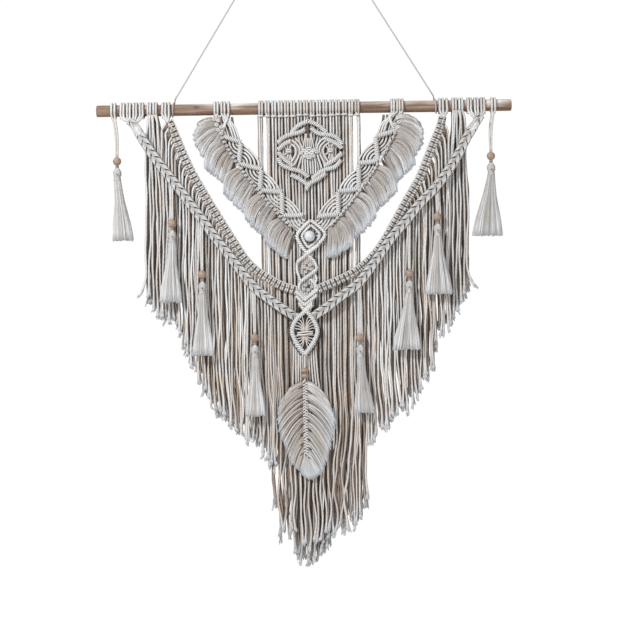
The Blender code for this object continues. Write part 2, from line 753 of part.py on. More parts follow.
def make_stone():
    """A round white stone bead, held in the diamond."""
    bm = bmesh.new()
    bmesh.ops.create_icosphere(bm, subdivisions=2, radius=STONE_RADIUS)
    bmesh.ops.translate(bm, verts=bm.verts, vec=at(5.5, 185.8, STONE_Y))
    place(finish(bm, "stone_bead"), "stone_bead", material("white_stone", STONE, 0.35))


def make_feather(cotton, bead_wood):
    """A brushed cotton feather on its cord, with two flat wooden beads above it."""
    bm = bmesh.new()
    drops = [FEATHER_TOP + (FEATHER_END - FEATHER_TOP) * k / 20 for k in range(21)]
    route = [at(FEATHER_X, d, FEATHER_Y) for d in drops]

    def half(ring):
        return 0.0026 if ring % 2 else 0.0022

    lay_along(bm, route, half, half, 4)
    bmesh.ops.recalc_face_normals(bm, faces=bm.faces)
    deep = Vector((0, 1, 0))
    ends = [f for f in bm.faces if abs(f.normal.z) > 0.9]
    top = max(ends, key=lambda f: f.calc_center_median().z)
    low = min(ends, key=lambda f: f.calc_center_median().z)
    sides = [f for f in bm.faces if abs(f.normal.x) > 0.6]
    for side, way in (("left", -1), ("right", 1)):
        for root_drop, tip_x, tip_drop in BARBS[side]:
            root = at(FEATHER_X, root_drop, FEATHER_Y)
            face = min(
                (f for f in sides if f.normal.x * way > 0),
                key=lambda f: abs(f.calc_center_median().z - root.z),
            )
            sides.remove(face)
            start = face.calc_center_median()
            flow = at(tip_x, tip_drop, FEATHER_Y) - start
            across = flow.cross(deep).normalized() * way
            across *= -1 if across.z < 0 else 1
            room = BARB_STEP * across.z
            stations = []
            for share, size in ((0.45, 0.37), (1.0, 0.35)):
                spot = start + flow * share
                spot.z += 0.0012 * math.sin(math.pi * share)
                stations.append((spot, across * room * size, deep * 0.0017))
            draw_out(bm, face, stations)
    side_way, deep_way = Vector((FEATHER_CORD_HALF, 0, 0)), Vector((0, FEATHER_CORD_HALF, 0))
    draw_out(bm, top, [
        (at(FEATHER_X, FEATHER_TOP - 1.5, FEATHER_Y), side_way, deep_way),
        (at(FEATHER_X + 0.4, CORD_END, FEATHER_Y), side_way, deep_way),
    ])
    draw_out(bm, low, [
        (at(FEATHER_X + 0.6, FEATHER_END + 8, FEATHER_Y), side_way, deep_way),
        (at(FEATHER_X + 2.4, 534, FEATHER_Y), side_way * 1.6, deep_way),
    ])
    place(finish(bm, "feather"), "feather", cotton)
    for k, drop in enumerate(FEATHER_BEADS):
        turned_bead(
            f"feather_bead_{k + 1}", at(FEATHER_X + 0.2, drop, FEATHER_Y),
            BEAD_RADIUS * 0.98, FEATHER_BEAD_HALF, BEAD_HOLE, bead_wood,
        )


def make_tassel(name, row, cotton, bead_wood):
    """A cord, a turned bead on it and a tassel of locks bound under a round head."""
    bead_x, bead_drop, end_drop, left_x, right_x, cord_x, cord_drop = row
    y = PANEL_Y if cord_x is None else TASSEL_Y
    head_x = bead_x
    head_top = bead_drop + HEAD_START / MM
    low_y = y - 0.0002
    half = TASSEL_CORD_HALF / math.sqrt(2)
    if cord_x is None:
        bm = bmesh.new()
        roots, middles = wraps(bm, name.split("_")[1] + "_tassel")
        middle = sum(middles) / len(middles)
        face = roots[0]
        draw_out(bm, face, hanging((
            at(middle - 0.6, ROOT_DROP, y), at((middle + bead_x) / 2, 40.0, y),
            at(bead_x, bead_drop - 8.0, y), at(bead_x, head_top - 0.3, y),
        ), half, 1.0))
        place(finish(bm, name + "_cord"), name + "_cord", cotton)
    else:
        bm = bmesh.new()
        route = [
            at(cord_x, cord_drop, BRAID_Y), at(bead_x, cord_drop + 12.0, TASSEL_Y + 0.0012),
            at(bead_x, bead_drop - 8.0, TASSEL_Y), at(bead_x, head_top - 0.3, TASSEL_Y),
        ]
        lay_along(bm, route, steady(TASSEL_CORD_HALF), steady(TASSEL_CORD_HALF), 4)
        place(finish(bm, name + "_cord"), name + "_cord", cotton)
    turned_bead(
        name + "_bead", at(bead_x, bead_drop, y), BEAD_RADIUS, BEAD_RADIUS, BEAD_HOLE, bead_wood
    )

    bm = bmesh.new()
    route = [at(head_x, head_top + d / MM, low_y) for d, _ in HEAD_RINGS]
    lay_along(
        bm, route, lambda i: HEAD_RINGS[i][1], lambda i: HEAD_RINGS[i][1] * HEAD_FLATNESS, SKIRT_LOCKS
    )
    bmesh.ops.recalc_face_normals(bm, faces=bm.faces)
    lowest = (route[-1] + route[-2]) / 2
    roots = [
        f for f in bm.faces
        if len(f.verts) == 4 and abs(f.calc_center_median().z - lowest.z) < 0.0006
        and abs(f.normal.z) < 0.7
    ]
    skirt_x = (left_x + right_x) / 2
    wide = (right_x - left_x) * MM / 2 - 0.0024
    for face in roots:
        start = face.calc_center_median()
        angle = math.atan2((start.y - low_y) / HEAD_FLATNESS, start.x - head_x * MM)
        out = Vector((math.cos(angle), math.sin(angle), 0))
        stations = []
        for share in (0.12, 1.0):
            drop = head_top + 20.0 + (end_drop - head_top - 20.0) * share
            x = head_x + (skirt_x - head_x) * share
            spread_x = 0.0066 + (wide - 0.0066) * share ** 0.8
            spread_y = 0.0058 + (SKIRT_DEPTH - 0.0058) * share
            spot = at(x, drop, low_y) + Vector((out.x * spread_x, out.y * spread_y, 0))
            around = Vector((-out.y * spread_x, out.x * spread_y, 0)) * SKIRT_FILL
            stations.append((spot, around, out * 0.0015))
        draw_out(bm, face, stations, Vector((0, 0, 1)))
    place(finish(bm, name + "_tassel"), name + "_tassel", cotton)


clear_scene()
PARTS = collection("macrame_wall_hanging")
CUTTERS = collection("joined_shapes")
cotton_cord = material("cotton_cord", COTTON, 0.95)
turned_wood = material("bead_wood", BEAD_WOOD, 0.55)

make_rod()
make_hanging_cord(cotton_cord)
make_centre_panel(cotton_cord)
for hand in ("left", "right"):
    make_side_strands(hand, cotton_cord)
    make_swag(hand, cotton_cord)
    make_braid(hand, cotton_cord)
    make_garland_arm(hand, cotton_cord)
    make_garland_fringe(hand, cotton_cord)
make_column(cotton_cord)
make_stone()
make_feather(cotton_cord, turned_wood)
for tassel_name, tassel_row in TASSELS.items():
    make_tassel(tassel_name, tassel_row, cotton_cord, turned_wood)
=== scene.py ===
# Macrame wall hanging on a wooden rod: how it looks, piece by piece, in the part's own frame.
import math
import bmesh
import bpy
import numpy as np
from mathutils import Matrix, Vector


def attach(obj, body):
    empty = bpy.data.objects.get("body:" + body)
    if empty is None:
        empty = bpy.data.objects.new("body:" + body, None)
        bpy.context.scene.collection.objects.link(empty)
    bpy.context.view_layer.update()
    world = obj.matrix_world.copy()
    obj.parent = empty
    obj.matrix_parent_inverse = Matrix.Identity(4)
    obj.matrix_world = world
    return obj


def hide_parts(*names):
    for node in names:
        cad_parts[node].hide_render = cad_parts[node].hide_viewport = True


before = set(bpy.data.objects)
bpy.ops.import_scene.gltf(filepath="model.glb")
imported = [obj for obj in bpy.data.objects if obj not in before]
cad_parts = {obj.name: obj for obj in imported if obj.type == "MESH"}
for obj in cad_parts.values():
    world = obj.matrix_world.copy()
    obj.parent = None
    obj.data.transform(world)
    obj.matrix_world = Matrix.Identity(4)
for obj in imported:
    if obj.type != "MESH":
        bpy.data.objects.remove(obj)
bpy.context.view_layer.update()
bpy.ops.object.select_all(action="DESELECT")

# ---------------------------------------------------------------------------------------
# Camera, light and floor. The hanging is seen straight from the front, by soft light from
# the upper left. The camera is rolled as the photograph is, and sees the room as white. The
# hanging itself gets less light from it. The floor lies just below the view.
ROLL = 0.88
SKY_SEEN, SKY_ON_THINGS = 1.04, 0.42

view_data = bpy.data.cameras.new("front_view")
view_data.sensor_width = 36.0
view_data.lens = 116.7
front_view = bpy.data.objects.new("front_view", view_data)
front_view.location = (0.0186, -3.0, -0.6196)
front_view.rotation_euler = (math.radians(90.0), math.radians(ROLL), 0.0)
bpy.context.scene.collection.objects.link(front_view)
bpy.context.scene.camera = front_view

room = bpy.data.worlds.new("white_room")
bpy.context.scene.world = room
room.use_nodes = True
sky = room.node_tree.nodes["Background"]
sky.inputs["Color"].default_value = (1.0, 0.985, 0.97, 1.0)
seen = room.node_tree.nodes.new("ShaderNodeLightPath")
lift = room.node_tree.nodes.new("ShaderNodeMath")
lift.operation = "MULTIPLY_ADD"
lift.inputs[1].default_value = SKY_SEEN - SKY_ON_THINGS
lift.inputs[2].default_value = SKY_ON_THINGS
room.node_tree.links.new(seen.outputs["Is Camera Ray"], lift.inputs[0])
room.node_tree.links.new(lift.outputs[0], sky.inputs["Strength"])
bpy.context.scene.view_settings.view_transform = "Standard"

for name, place, size, power in (
    ("window_light", (-1.3, -1.7, 0.9), 0.45, 60.0),
    ("low_fill", (1.6, -2.2, -0.8), 1.4, 15.0),
    ("back_fill", (0.8, 2.2, 0.2), 1.6, 16.0),
):
    lamp_data = bpy.data.lights.new(name, "AREA")
    lamp_data.size = size
    lamp_data.energy = power
    lamp_data.color = (0.925, 0.968, 1.0)
    lamp = bpy.data.objects.new(name, lamp_data)
    lamp.location = place
    aim = Vector((0.0, 0.0, -0.60)) - Vector(place)
    lamp.rotation_euler = aim.to_track_quat("-Z", "Y").to_euler()
    bpy.context.scene.collection.objects.link(lamp)

bpy.ops.mesh.primitive_plane_add(size=2.6, location=(0.0, 0.0, -1.32))
floor = bpy.context.object
floor.name = "floor"


# Where Blender's nodes keep these sockets.
OBJECT_COORDS = 3
ATTRIBUTE_VALUE = 2
COLOUR_A, COLOUR_B, MIXED_COLOUR = 6, 7, 2


class Mix:
    """One value in a material. Sums on it add their own nodes."""

    def __init__(self, tree, socket=None):
        self.tree = tree
        self.socket = socket

    def node(self, kind, settings, sockets, output=0):
        made = self.tree.nodes.new("ShaderNode" + kind)
        for key, value in settings.items():
            setattr(made, key, value)
        for key, value in sockets.items():
            if isinstance(value, Mix):
                self.tree.links.new(value.socket, made.inputs[key])
            else:
                made.inputs[key].default_value = value
        return Mix(self.tree, made.outputs[output] if len(made.outputs) else None)

    def sum(self, operation, first, second=0.0):
        return self.node("Math", {"operation": operation}, {0: first, 1: second})

    def __add__(self, other):
        return self.sum("ADD", self, other)

    def __radd__(self, other):
        return self.sum("ADD", other, self)

    def __sub__(self, other):
        return self.sum("SUBTRACT", self, other)

    def __rsub__(self, other):
        return self.sum("SUBTRACT", other, self)

    def __mul__(self, other):
        return self.sum("MULTIPLY", self, other)

    def __truediv__(self, other):
        return self.sum("DIVIDE", self, other)

    def clamped(self):
        return self.node("Clamp", {}, {"Value": self})

    def blend(self, first, second):
        """Colour mixed by this value, from the first to the second."""
        return self.node("Mix", {"data_type": "RGBA"},
                         {0: self, COLOUR_A: first, COLOUR_B: second}, MIXED_COLOUR)


def paint(name):
    """An empty material and its start, from which every node is added."""
    made = bpy.data.materials.new(name)
    made.use_nodes = True
    made.node_tree.nodes.clear()
    return made, Mix(made.node_tree)


def surface(start, sockets):
    """The material's shader and its output."""
    shader = start.node("BsdfPrincipled", {}, sockets)
    start.node("OutputMaterial", {}, {"Surface": shader})


floor_paint, start = paint("floor_paint")
grain = start.node("TexNoise", {}, {"Scale": 3.0, "Detail": 4.0})
surface(start, {"Base Color": grain.blend((0.88, 0.88, 0.88, 1), (0.93, 0.93, 0.93, 1)),
                "Roughness": 0.8})
floor.data.materials.append(floor_paint)

# ---------------------------------------------------------------------------------------
# Wooden rod. A peeled, weathered branch turned round, 600 mm long and 17 mm thick, bare
# wood, its sawn ends rounded over. Everything else hangs on it.
ROD_LENGTH = 0.600
ROD_RADIUS = 0.0085
ROD_LEVEL = -0.313
ROD_KNOT_X = -0.155
ROD_KNOT_WIDE, ROD_KNOT_HIGH = 0.0052, 0.0034
SAWN_FROM_X = 0.272
END_ROUNDING = 0.0021


def select(thing, kind, wanted):
    """In edit mode, selects the vertices, edges or faces that are wanted, and no others."""
    bpy.ops.mesh.select_mode(type=kind)
    bpy.ops.mesh.select_all(action="DESELECT")
    form = bmesh.from_edit_mesh(thing.data)
    for part in {"VERT": form.verts, "EDGE": form.edges, "FACE": form.faces}[kind]:
        part.select_set(wanted(part))
    bmesh.update_edit_mesh(thing.data)


bpy.ops.mesh.primitive_cylinder_add(vertices=48, radius=ROD_RADIUS, depth=ROD_LENGTH,
                                    location=(0, 0, ROD_LEVEL), rotation=(0, math.pi / 2, 0))
rod = bpy.context.object
rod.name = "wooden_rod"
bpy.ops.object.transform_apply(location=True, rotation=True, scale=True)
bpy.ops.object.mode_set(mode="EDIT")
select(rod, "EDGE", lambda edge: abs(edge.verts[0].co.x - edge.verts[1].co.x) > 0.1)
bpy.ops.mesh.subdivide(number_cuts=79)
select(rod, "EDGE", lambda edge: min(abs(v.co.x) for v in edge.verts) > ROD_LENGTH / 2 - 1e-5)
bpy.ops.mesh.bevel(offset=END_ROUNDING, segments=4, affect="EDGES")
select(rod, "FACE", lambda face: abs(face.normal.x) > 0.99 and len(face.verts) > 8)
for ring in range(2):
    bpy.ops.mesh.inset(thickness=0.0022)
bpy.ops.object.mode_set(mode="OBJECT")
for v in rod.data.vertices:
    x = v.co.x
    across = Vector((0, v.co.y, v.co.z - ROD_LEVEL))
    around = math.atan2(across.z, across.y)
    swell = 0.010 * math.sin(x * 21.0 + 2.0 * around) + 0.008 * math.sin(x * 63.0 - around)
    swell -= 0.010
    off = x - ROD_KNOT_X
    if abs(off) < 0.012:
        swell += 0.03 * math.exp(-(off / 0.004) ** 2) * math.exp(-(around + 1.9) ** 2)
    v.co.y = across.y * (1 + swell)
    v.co.z = ROD_LEVEL + across.z * (1 + swell)
bpy.ops.object.shade_smooth_by_angle(angle=math.radians(50))

rod_wood, start = paint("weathered_rod_wood")
where = start.node("TexCoord", {}, {}, OBJECT_COORDS)
x_of = start.node("SeparateXYZ", {}, {0: where})
z_of = Mix(start.tree, x_of.socket.node.outputs["Z"])
height = (z_of - ROD_LEVEL) / ROD_RADIUS
drift = start.node("TexNoise", {}, {"Vector": where, "Scale": 14.0, "Detail": 3.0})
run = start.node("Mapping", {}, {0: where, "Scale": (11.0, 210.0, 210.0)})
streak = start.node("TexNoise", {}, {"Vector": run, "Scale": 1.0, "Detail": 8.0,
                                     "Roughness": 0.68, "Distortion": 0.25})
wide_run = start.node("Mapping", {}, {0: where, "Scale": (5.0, 75.0, 75.0)})
band = start.node("TexNoise", {}, {"Vector": wide_run, "Scale": 1.0, "Detail": 4.0,
                                   "Distortion": 0.5})
band = ((band - 0.34) * 3.0).clamped()
fleck = start.node("TexNoise", {}, {"Vector": where, "Scale": 420.0, "Detail": 2.0})
knot_x = (x_of - ROD_KNOT_X) / ROD_KNOT_WIDE
knot_z = (z_of - (ROD_LEVEL + 0.003)) / ROD_KNOT_HIGH
branch_knot = (1.0 - (knot_x * knot_x + knot_z * knot_z)).clamped()
sawn = ((start.sum("ABSOLUTE", x_of) - SAWN_FROM_X) * 40.0).clamped()
# The top is paler and greyer, the underside darker tan: partly weathering of the wood, partly
# painted shade on the underside.
upper = (height * 0.85 + (drift - 0.5) * 3.0 + 0.20 - sawn * 0.7).clamped()
tan = band.blend((0.20, 0.115, 0.074, 1), (0.36, 0.240, 0.170, 1))
grey = band.blend((0.47, 0.395, 0.345, 1), (0.76, 0.70, 0.655, 1))
wood = upper.blend(tan, grey)
for much, share, colour in (
    (((streak - 0.49) * 8.0).clamped(), 0.85, (0.115, 0.062, 0.038, 1)),
    (((0.44 - streak) * 6.0).clamped(), 0.6, (0.60, 0.52, 0.45, 1)),
    (((fleck - 0.60) * 4.0).clamped(), 0.3, (0.14, 0.09, 0.06, 1)),
    (branch_knot, 0.85, (0.12, 0.07, 0.045, 1)),
):
    wood = (much * share).blend(wood, colour)
relief = streak * 0.7 + fleck * 0.3
surface(start, {
    "Base Color": wood,
    "Roughness": 0.62 + band * 0.25,
    "Normal": start.node("Bump", {}, {"Height": relief, "Strength": 0.55,
                                      "Distance": 0.0006}),
})
rod.data.materials.append(rod_wood)
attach(rod, "root")
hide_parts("rod")

# ---------------------------------------------------------------------------------------
# Hanging cord. A thin two-ply cotton cord, turned once round the rod at each end under its
# own tail and run up taut over the nail, which is left out.
MM = 0.001


def spot(across, drop, y):
    """A point of the hanging: X and the drop below the rod's middle in mm, y in metres."""
    return np.array([across * MM, y, ROD_LEVEL - drop * MM])


def drawn(points, step=0.004):
    """A smooth run through the points, with about one point a step."""
    p = np.asarray(points, float)
    if len(p) == 2:
        count = max(2, int(math.ceil(np.linalg.norm(p[1] - p[0]) / step)) + 1)
        return p[0] + (p[1] - p[0]) * np.linspace(0, 1, count)[:, None]
    p = np.vstack([2 * p[0] - p[1], p, 2 * p[-1] - p[-2]])
    run = []
    for a, b, c, d in zip(p, p[1:], p[2:], p[3:]):
        count = max(1, int(math.ceil(np.linalg.norm(c - b) / step)))
        t = (np.arange(count) / count)[:, None]
        run.append(0.5 * (2 * b + (c - a) * t + (2 * a - 5 * b + 4 * c - d) * t ** 2
                          + (3 * b - a - 3 * c + d) * t ** 3))
    return np.vstack(run + [p[-2:-1]])


def travelled(path):
    """How far along a path each of its points lies."""
    return np.concatenate([[0], np.cumsum(np.linalg.norm(np.diff(path, axis=0), axis=1))])


def axes(path, ref=(0, 1, 0)):
    """At each point of a path: the way along it, to its side, and up from both."""
    along = np.gradient(path, axis=0)
    along /= np.linalg.norm(along, axis=1)[:, None] + 1e-12
    side = np.cross(along, np.broadcast_to(ref, (len(path), 3)))
    side /= np.linalg.norm(side, axis=1)[:, None] + 1e-12
    return along, side, np.cross(side, along)


class Skein:
    """Gathers cords and fibres, and turns them into one mesh with its own chart."""

    def __init__(self):
        self.points, self.faces, self.caps, self.charts = [], [], [], []
        self.tones, self.shades, self.tips = [], [], []
        self.count = 0

    def cord(self, path, half, sides=6, tone=0.5, shade=1.0, tip=0.0, flat=1.0,
             beside=None, dip=0.55, ref=(0, 1, 0), roll=0.0):
        """One cord along a path, half its thickness given. tone is its lot of yarn, shade its
        painted light and shade, and tip how brushed it is. dip paints shade on the sides that face
        its neighbours, which lie beside it. flat squeezes it, and ref and roll set how its sides
        are turned."""
        path = np.asarray(path, float)
        n = len(path)
        _, side, up = axes(path, ref)
        angle = -math.pi / 2 + roll + 2 * math.pi * np.arange(sides) / sides
        out = (np.cos(angle)[None, :, None] * side[:, None]
               + np.sin(angle)[None, :, None] * up[:, None] * flat)
        half = np.broadcast_to(half, n)
        ring = path[:, None] + half[:, None, None] * out
        near = side if beside is None else np.broadcast_to(beside, (n, 3))
        # Painted shade on the sides that face the neighbours; on the sides that face the back it
        # is lifted, and the yarn there greyer.
        toward_neighbours = (out * near[:, None]).sum(2) ** 2
        facing_back = np.clip(out[..., 1] * 2 - 0.8, 0, 1)
        shade = np.broadcast_to(shade, n)[:, None]
        shade = (shade + (0.92 - shade) * facing_back) * (1 - dip * np.clip(toward_neighbours, 0, 1))
        tone = np.broadcast_to(tone, n)[:, None]
        tone = tone + (0.3 - tone) * facing_back
        tip = np.broadcast_to(np.broadcast_to(tip, n)[:, None], shade.shape)
        i = np.arange(n - 1)[:, None] * sides
        j = np.arange(sides)[None]
        k = (j + 1) % sides
        face = np.stack(np.broadcast_arrays(i + j, i + sides + j, i + sides + k, i + k), -1)
        gone = travelled(path)
        low, high = gone[:-1, None], gone[1:, None]
        a, b = j / sides, (j + 1) / sides
        chart = np.stack(np.broadcast_arrays(a, low, a, high, b, high, b, low), -1)
        self.points.append(ring.reshape(-1, 3))
        self.faces.append(face.reshape(-1, 4) + self.count)
        self.charts.append(chart.reshape(-1, 2))
        ends = np.arange(sides)
        self.caps.append((ends + self.count, (n - 1) * sides + ends[::-1] + self.count))
        self.tones.append(tone.ravel())
        self.shades.append(shade.ravel())
        self.tips.append(tip.ravel())
        self.count += n * sides

    def made(self, name, finish, *nodes):
        """The skein as one object that rides on the body and stands for the CAD nodes."""
        mesh = bpy.data.meshes.new(name)
        points = np.vstack(self.points)
        quads = np.vstack(self.faces)
        ends = [end for pair in self.caps for end in pair]
        loops = np.concatenate([quads.ravel()] + ends)
        sizes = np.concatenate([np.full(len(quads), 4), [len(end) for end in ends]])
        mesh.vertices.add(len(points))
        mesh.vertices.foreach_set("co", points.ravel())
        mesh.loops.add(len(loops))
        mesh.loops.foreach_set("vertex_index", loops)
        mesh.polygons.add(len(sizes))
        mesh.polygons.foreach_set("loop_start",
                                  np.concatenate([[0], np.cumsum(sizes)[:-1]]))
        mesh.update(calc_edges=True)
        mesh.polygons.foreach_set("use_smooth", np.ones(len(sizes), bool))
        chart = np.vstack(self.charts)
        rest = [np.full((len(end), 2), 0.5) for end in ends]
        mesh.uv_layers.new(name="UVMap").data.foreach_set(
            "uv", np.vstack([chart] + rest).ravel())
        for label, values in (("tone", self.tones), ("shade", self.shades),
                              ("tip", self.tips)):
            mesh.attributes.new(label, "FLOAT", "POINT").data.foreach_set(
                "value", np.concatenate(values))
        piece = bpy.data.objects.new(name, mesh)
        bpy.context.scene.collection.objects.link(piece)
        mesh.materials.append(finish)
        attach(piece, "root")
        if nodes:
            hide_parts(*nodes)


def cotton(name, grey, warm, deep, ends, plies=3, lay=0.0075, relief=0.5, streaks=0.5,
           lines=7.0, length=260.0):
    """Cotton cord. Plies wind round it, each of fine threads. Painted shade darkens the grooves
    between the plies, and the shade attribute paints darker, browner shade into crevices and
    deeper layers. grey and warm are its two lots of yarn, deep the brown of that painted
    shade, ends its brushed tips. lines and length set how fine and how long the threads are
    that show."""
    made, start = paint(name)
    tone, shade, tip = (start.node("Attribute", {"attribute_name": label}, {}, ATTRIBUTE_VALUE)
                        for label in ("tone", "shade", "tip"))
    chart = start.node("UVMap", {}, {})
    around = start.node("SeparateXYZ", {}, {0: chart})
    along = Mix(start.tree, around.socket.node.outputs["Y"])
    twist = around * float(plies) + along / lay
    crest = start.sum("SINE", start.sum("FRACT", twist) * math.pi)
    spun = start.node("CombineXYZ", {}, {"X": twist * lines, "Y": along * length,
                                         "Z": tone * 57.0})
    thread = start.node("TexNoise", {}, {"Vector": spun, "Scale": 1.0, "Detail": 3.0,
                                         "Roughness": 0.6})
    place = start.node("TexCoord", {}, {}, OBJECT_COORDS)
    cloud = start.node("TexNoise", {}, {"Vector": place, "Scale": 46.0, "Detail": 3.0})
    fluff = start.node("TexNoise", {}, {"Vector": place, "Scale": 1500.0, "Detail": 2.0})
    lot = (tone + (cloud - 0.5) * 0.9).clamped()
    yarn = lot.blend((*grey, 1), (*warm, 1))
    # Painted shade in the grooves between the plies, less on brushed tips.
    groove_shade_share = (1.0 - tip * 0.8) * relief
    lit = shade * (1.0 - groove_shade_share * 0.42 * (1.0 - crest))
    lit = lit + (thread - 0.5) * streaks * 0.55
    lit = (lit + (cloud - 0.5) * 0.22).clamped()
    body = lit.blend((*deep, 1), yarn)
    body = tip.clamped().blend(body, (*ends, 1))
    body = ((0.5 - thread) * 0.5 * streaks).clamped().blend(body, (*deep, 1))
    bump = crest * (1.0 - tip * 0.8) * relief + thread * 0.35 + fluff * 0.12
    surface(start, {
        "Base Color": body,
        "Roughness": 0.82 + (1.0 - crest) * 0.12,
        "Sheen Weight": 0.25,
        "Sheen Roughness": 0.5,
        "Specular IOR Level": 0.25,
        "Normal": start.node("Bump", {}, {"Height": bump, "Strength": 0.8,
                                          "Distance": 0.0006}),
    })
    return made


# GREY and WARM are the two lots of yarn; DEEP is the brown that painted shade mixes to.
GREY = (0.90, 0.895, 0.89)
WARM = (0.60, 0.46, 0.35)
DEEP = (0.062, 0.039, 0.026)
ENDS = (0.70, 0.71, 0.735)
strand_cotton = cotton("strand_cotton", GREY, WARM, DEEP, ENDS)

HANGER_HALF = 0.0011
HANGER_X = (-189.2, 190.5)
hanger = Skein()


def hanger_turn(x, way):
    """One turn round the rod from behind its lower front, then the start of the rise."""
    reach = ROD_RADIUS + 0.0004 + HANGER_HALF
    run = []
    for k in range(25):
        angle = math.radians(-60 - 355 * k / 24)
        side = way * HANGER_HALF * (1.1 - 2.2 * k / 24)
        run.append([x * MM + side, -math.sin(angle) * reach,
                    ROD_LEVEL + math.cos(angle) * reach])
    run.append(spot(x - way * 3.5, -14.5, -0.0052))
    return run


first, last = hanger_turn(HANGER_X[0], -1), hanger_turn(HANGER_X[1], 1)
NAIL_TURN = 0.0051
over = []
for angle in np.radians(np.linspace(-72, 72, 9)):
    over.append([math.sin(angle) * NAIL_TURN, 0.0, math.cos(angle) * NAIL_TURN - 0.004])
rise = drawn([first[-1], over[0]], 0.012)[1:-1]
fall = drawn([over[-1], last[-1]], 0.012)[1:-1]
for rope in (first, last):
    hanger.cord(rope, HANGER_HALF, sides=8, tone=0.3, shade=0.85, ref=(1, 0, 0))
hanger.cord(np.vstack([first[-1:], rise, over, fall, last[-1:]]), HANGER_HALF, sides=8,
            tone=0.3, shade=0.85)
hanger_cotton = cotton("hanger_cotton", (0.66, 0.65, 0.65), (0.58, 0.55, 0.52),
                       (0.20, 0.18, 0.17), ENDS, plies=2, lay=0.004)
hanger.made("hanging_cord_run", hanger_cotton, "hanging_cord")

# ---------------------------------------------------------------------------------------
# Cords on the rod. Each folded cord is hitched on in pairs: both ends pass up behind the
# rod, over it and down its front, and the fold shows as a short bar under the rod.
TURN_RADIUS = 0.01065
CORD_HALF = 0.00185
BAR_HALF = 0.0017
chance = np.random.default_rng(41)


def wander(x, drop, much=1.0):
    """Slow waves of a hanging strand, its own and those it shares with its neighbours."""
    own = (0.8 * np.sin(drop / 19.0 + x * 1.7) + 0.35 * np.sin(drop / 8.7 + x * 2.9)
           + 0.9 * np.sin(drop / 71.0 + x * 5.3))
    return much * (1.2 * np.sin(drop / 61.0) + 0.8 * np.sin(drop / 23.0 + 1.0) + own)


def turn(x):
    """A cord's way round the rod, from its underside behind to its front below."""
    run = []
    for angle in np.radians(np.arange(252, -43, -14)):
        run.append([x * MM, -math.cos(angle) * TURN_RADIUS,
                    ROD_LEVEL + math.sin(angle) * TURN_RADIUS])
    return run


def bar(skein, x, wide, low, tone):
    """The fold of a hitched pair, a short bar under the rod that turns up behind it."""
    profile = ((1.0, -3.4, 0.0045), (1.0, 0.2, -0.0045), (0.8, 0.6, -0.0112), (0.35, 0.7, -0.0129))
    run = [spot(x - wide * out, low + down, y) for out, down, y in profile]
    run += [spot(x + wide * out, low + down, y) for out, down, y in profile[::-1]]
    skein.cord(drawn(run, 0.0016), BAR_HALF, tone=tone, shade=0.95,
               beside=(0, 0, 1), dip=0.5, ref=(0, 0.3, 1))


def hitched(skein, first, last, count, low=10.6, bars=True):
    """A row of passes on the rod, in pairs. Returns the X of each pass."""
    pitch = (last - first) / count
    out = []
    for k in range(0, count, 2):
        pair = min(2, count - k)
        middle = first + pitch * (k + pair / 2) + chance.normal(0, 0.18)
        tone = chance.uniform(0.05, 0.45)
        for s in ((-1, 1) if pair == 2 else (0,)):
            x = middle + s * pitch * 0.435
            skein.cord(turn(x), CORD_HALF, sides=8, tone=tone + chance.uniform(-0.1, 0.1),
                       shade=chance.uniform(0.86, 1.0), ref=(1, 0, 0),
                       beside=(1, 0, 0), dip=0.72)
            out.append(x)
        if bars:
            bar(skein, middle, pitch * 0.66 * pair / 2, low + chance.uniform(-0.7, 1.2),
                chance.uniform(0, 0.3))
    return out


on_rod = Skein()
centre_passes = hitched(on_rod, -66.6, 81.4, 32)
on_rod.made("centre_hitches", strand_cotton)
on_rod = Skein()
left_side_passes = hitched(on_rod, -227.4, -210.4, 4, bars=False)
right_side_passes = hitched(on_rod, 212.4, 231.4, 4, bars=False)
on_rod.made("side_hitches", strand_cotton)

# ---------------------------------------------------------------------------------------
# Centre panel. The thirty-two front ends hang from the rod through the leaf motif to the
# long fringe, with their partners in two layers behind them. Each end is left unspun.
# The fringe's outline all along the hanging: X and the drop of the ends there.
TIPS = np.array((
    (-228, 270), (-216, 291), (-207, 300), (-186, 308), (-176, 340), (-147, 411),
    (-132, 438), (-106, 464), (-80, 478), (-62, 500), (-50, 519), (-46, 616),
    (-29, 616), (-22, 645), (-4, 654), (6, 652), (21, 642), (31, 618),
    (48, 612), (62, 605), (78, 582), (82, 490), (95, 472), (111, 462),
    (128, 438), (148, 431), (168, 397), (183, 375), (189, 335), (207, 310),
    (219, 288), (234, 264)), float)
FRONT_Y, BEHIND_Y, BACK_Y = -0.0098, -0.0058, -0.0016
PANEL_X, MOTIF_X, COLUMN_X = 7.4, 7.3, -3.5
LOW_DROP = 520
# The leaf motif's ridges, each by points of X and drop.
MOTIF = (
    ((5.7, 20), (-8, 26), (-19, 36.6)),
    ((5.7, 20), (20, 26), (31.4, 36)),
    ((1.5, 31.2), (-5, 35.5), (-18, 38.5), (-30, 43), (-38, 50.7)),
    ((9.9, 30), (20, 38), (35, 40), (46, 44), (54, 54)),
    ((-19, 48), (-29, 52.5), (-38, 60.8)),
    ((-38, 63.7), (-29, 74.5), (-17, 84)),
    ((27, 44.5), (41, 50), (54, 59.5)),
    ((54, 66.5), (42, 77), (28, 85)),
    ((-38, 72.3), (-33, 82), (-20, 88.4), (-6, 92), (4.5, 100.3)),
    ((52.4, 76.6), (44, 86), (30, 90), (20, 95), (10.2, 103.3)),
    ((-20, 97), (-8, 103), (3, 111)),
    ((30.5, 95), (17, 104.5), (6.5, 110), (1.8, 118)),
)


def tip_at(x):
    """The drop of the fringe's cut end at X, both in mm."""
    return np.interp(x, TIPS[:, 0], TIPS[:, 1])


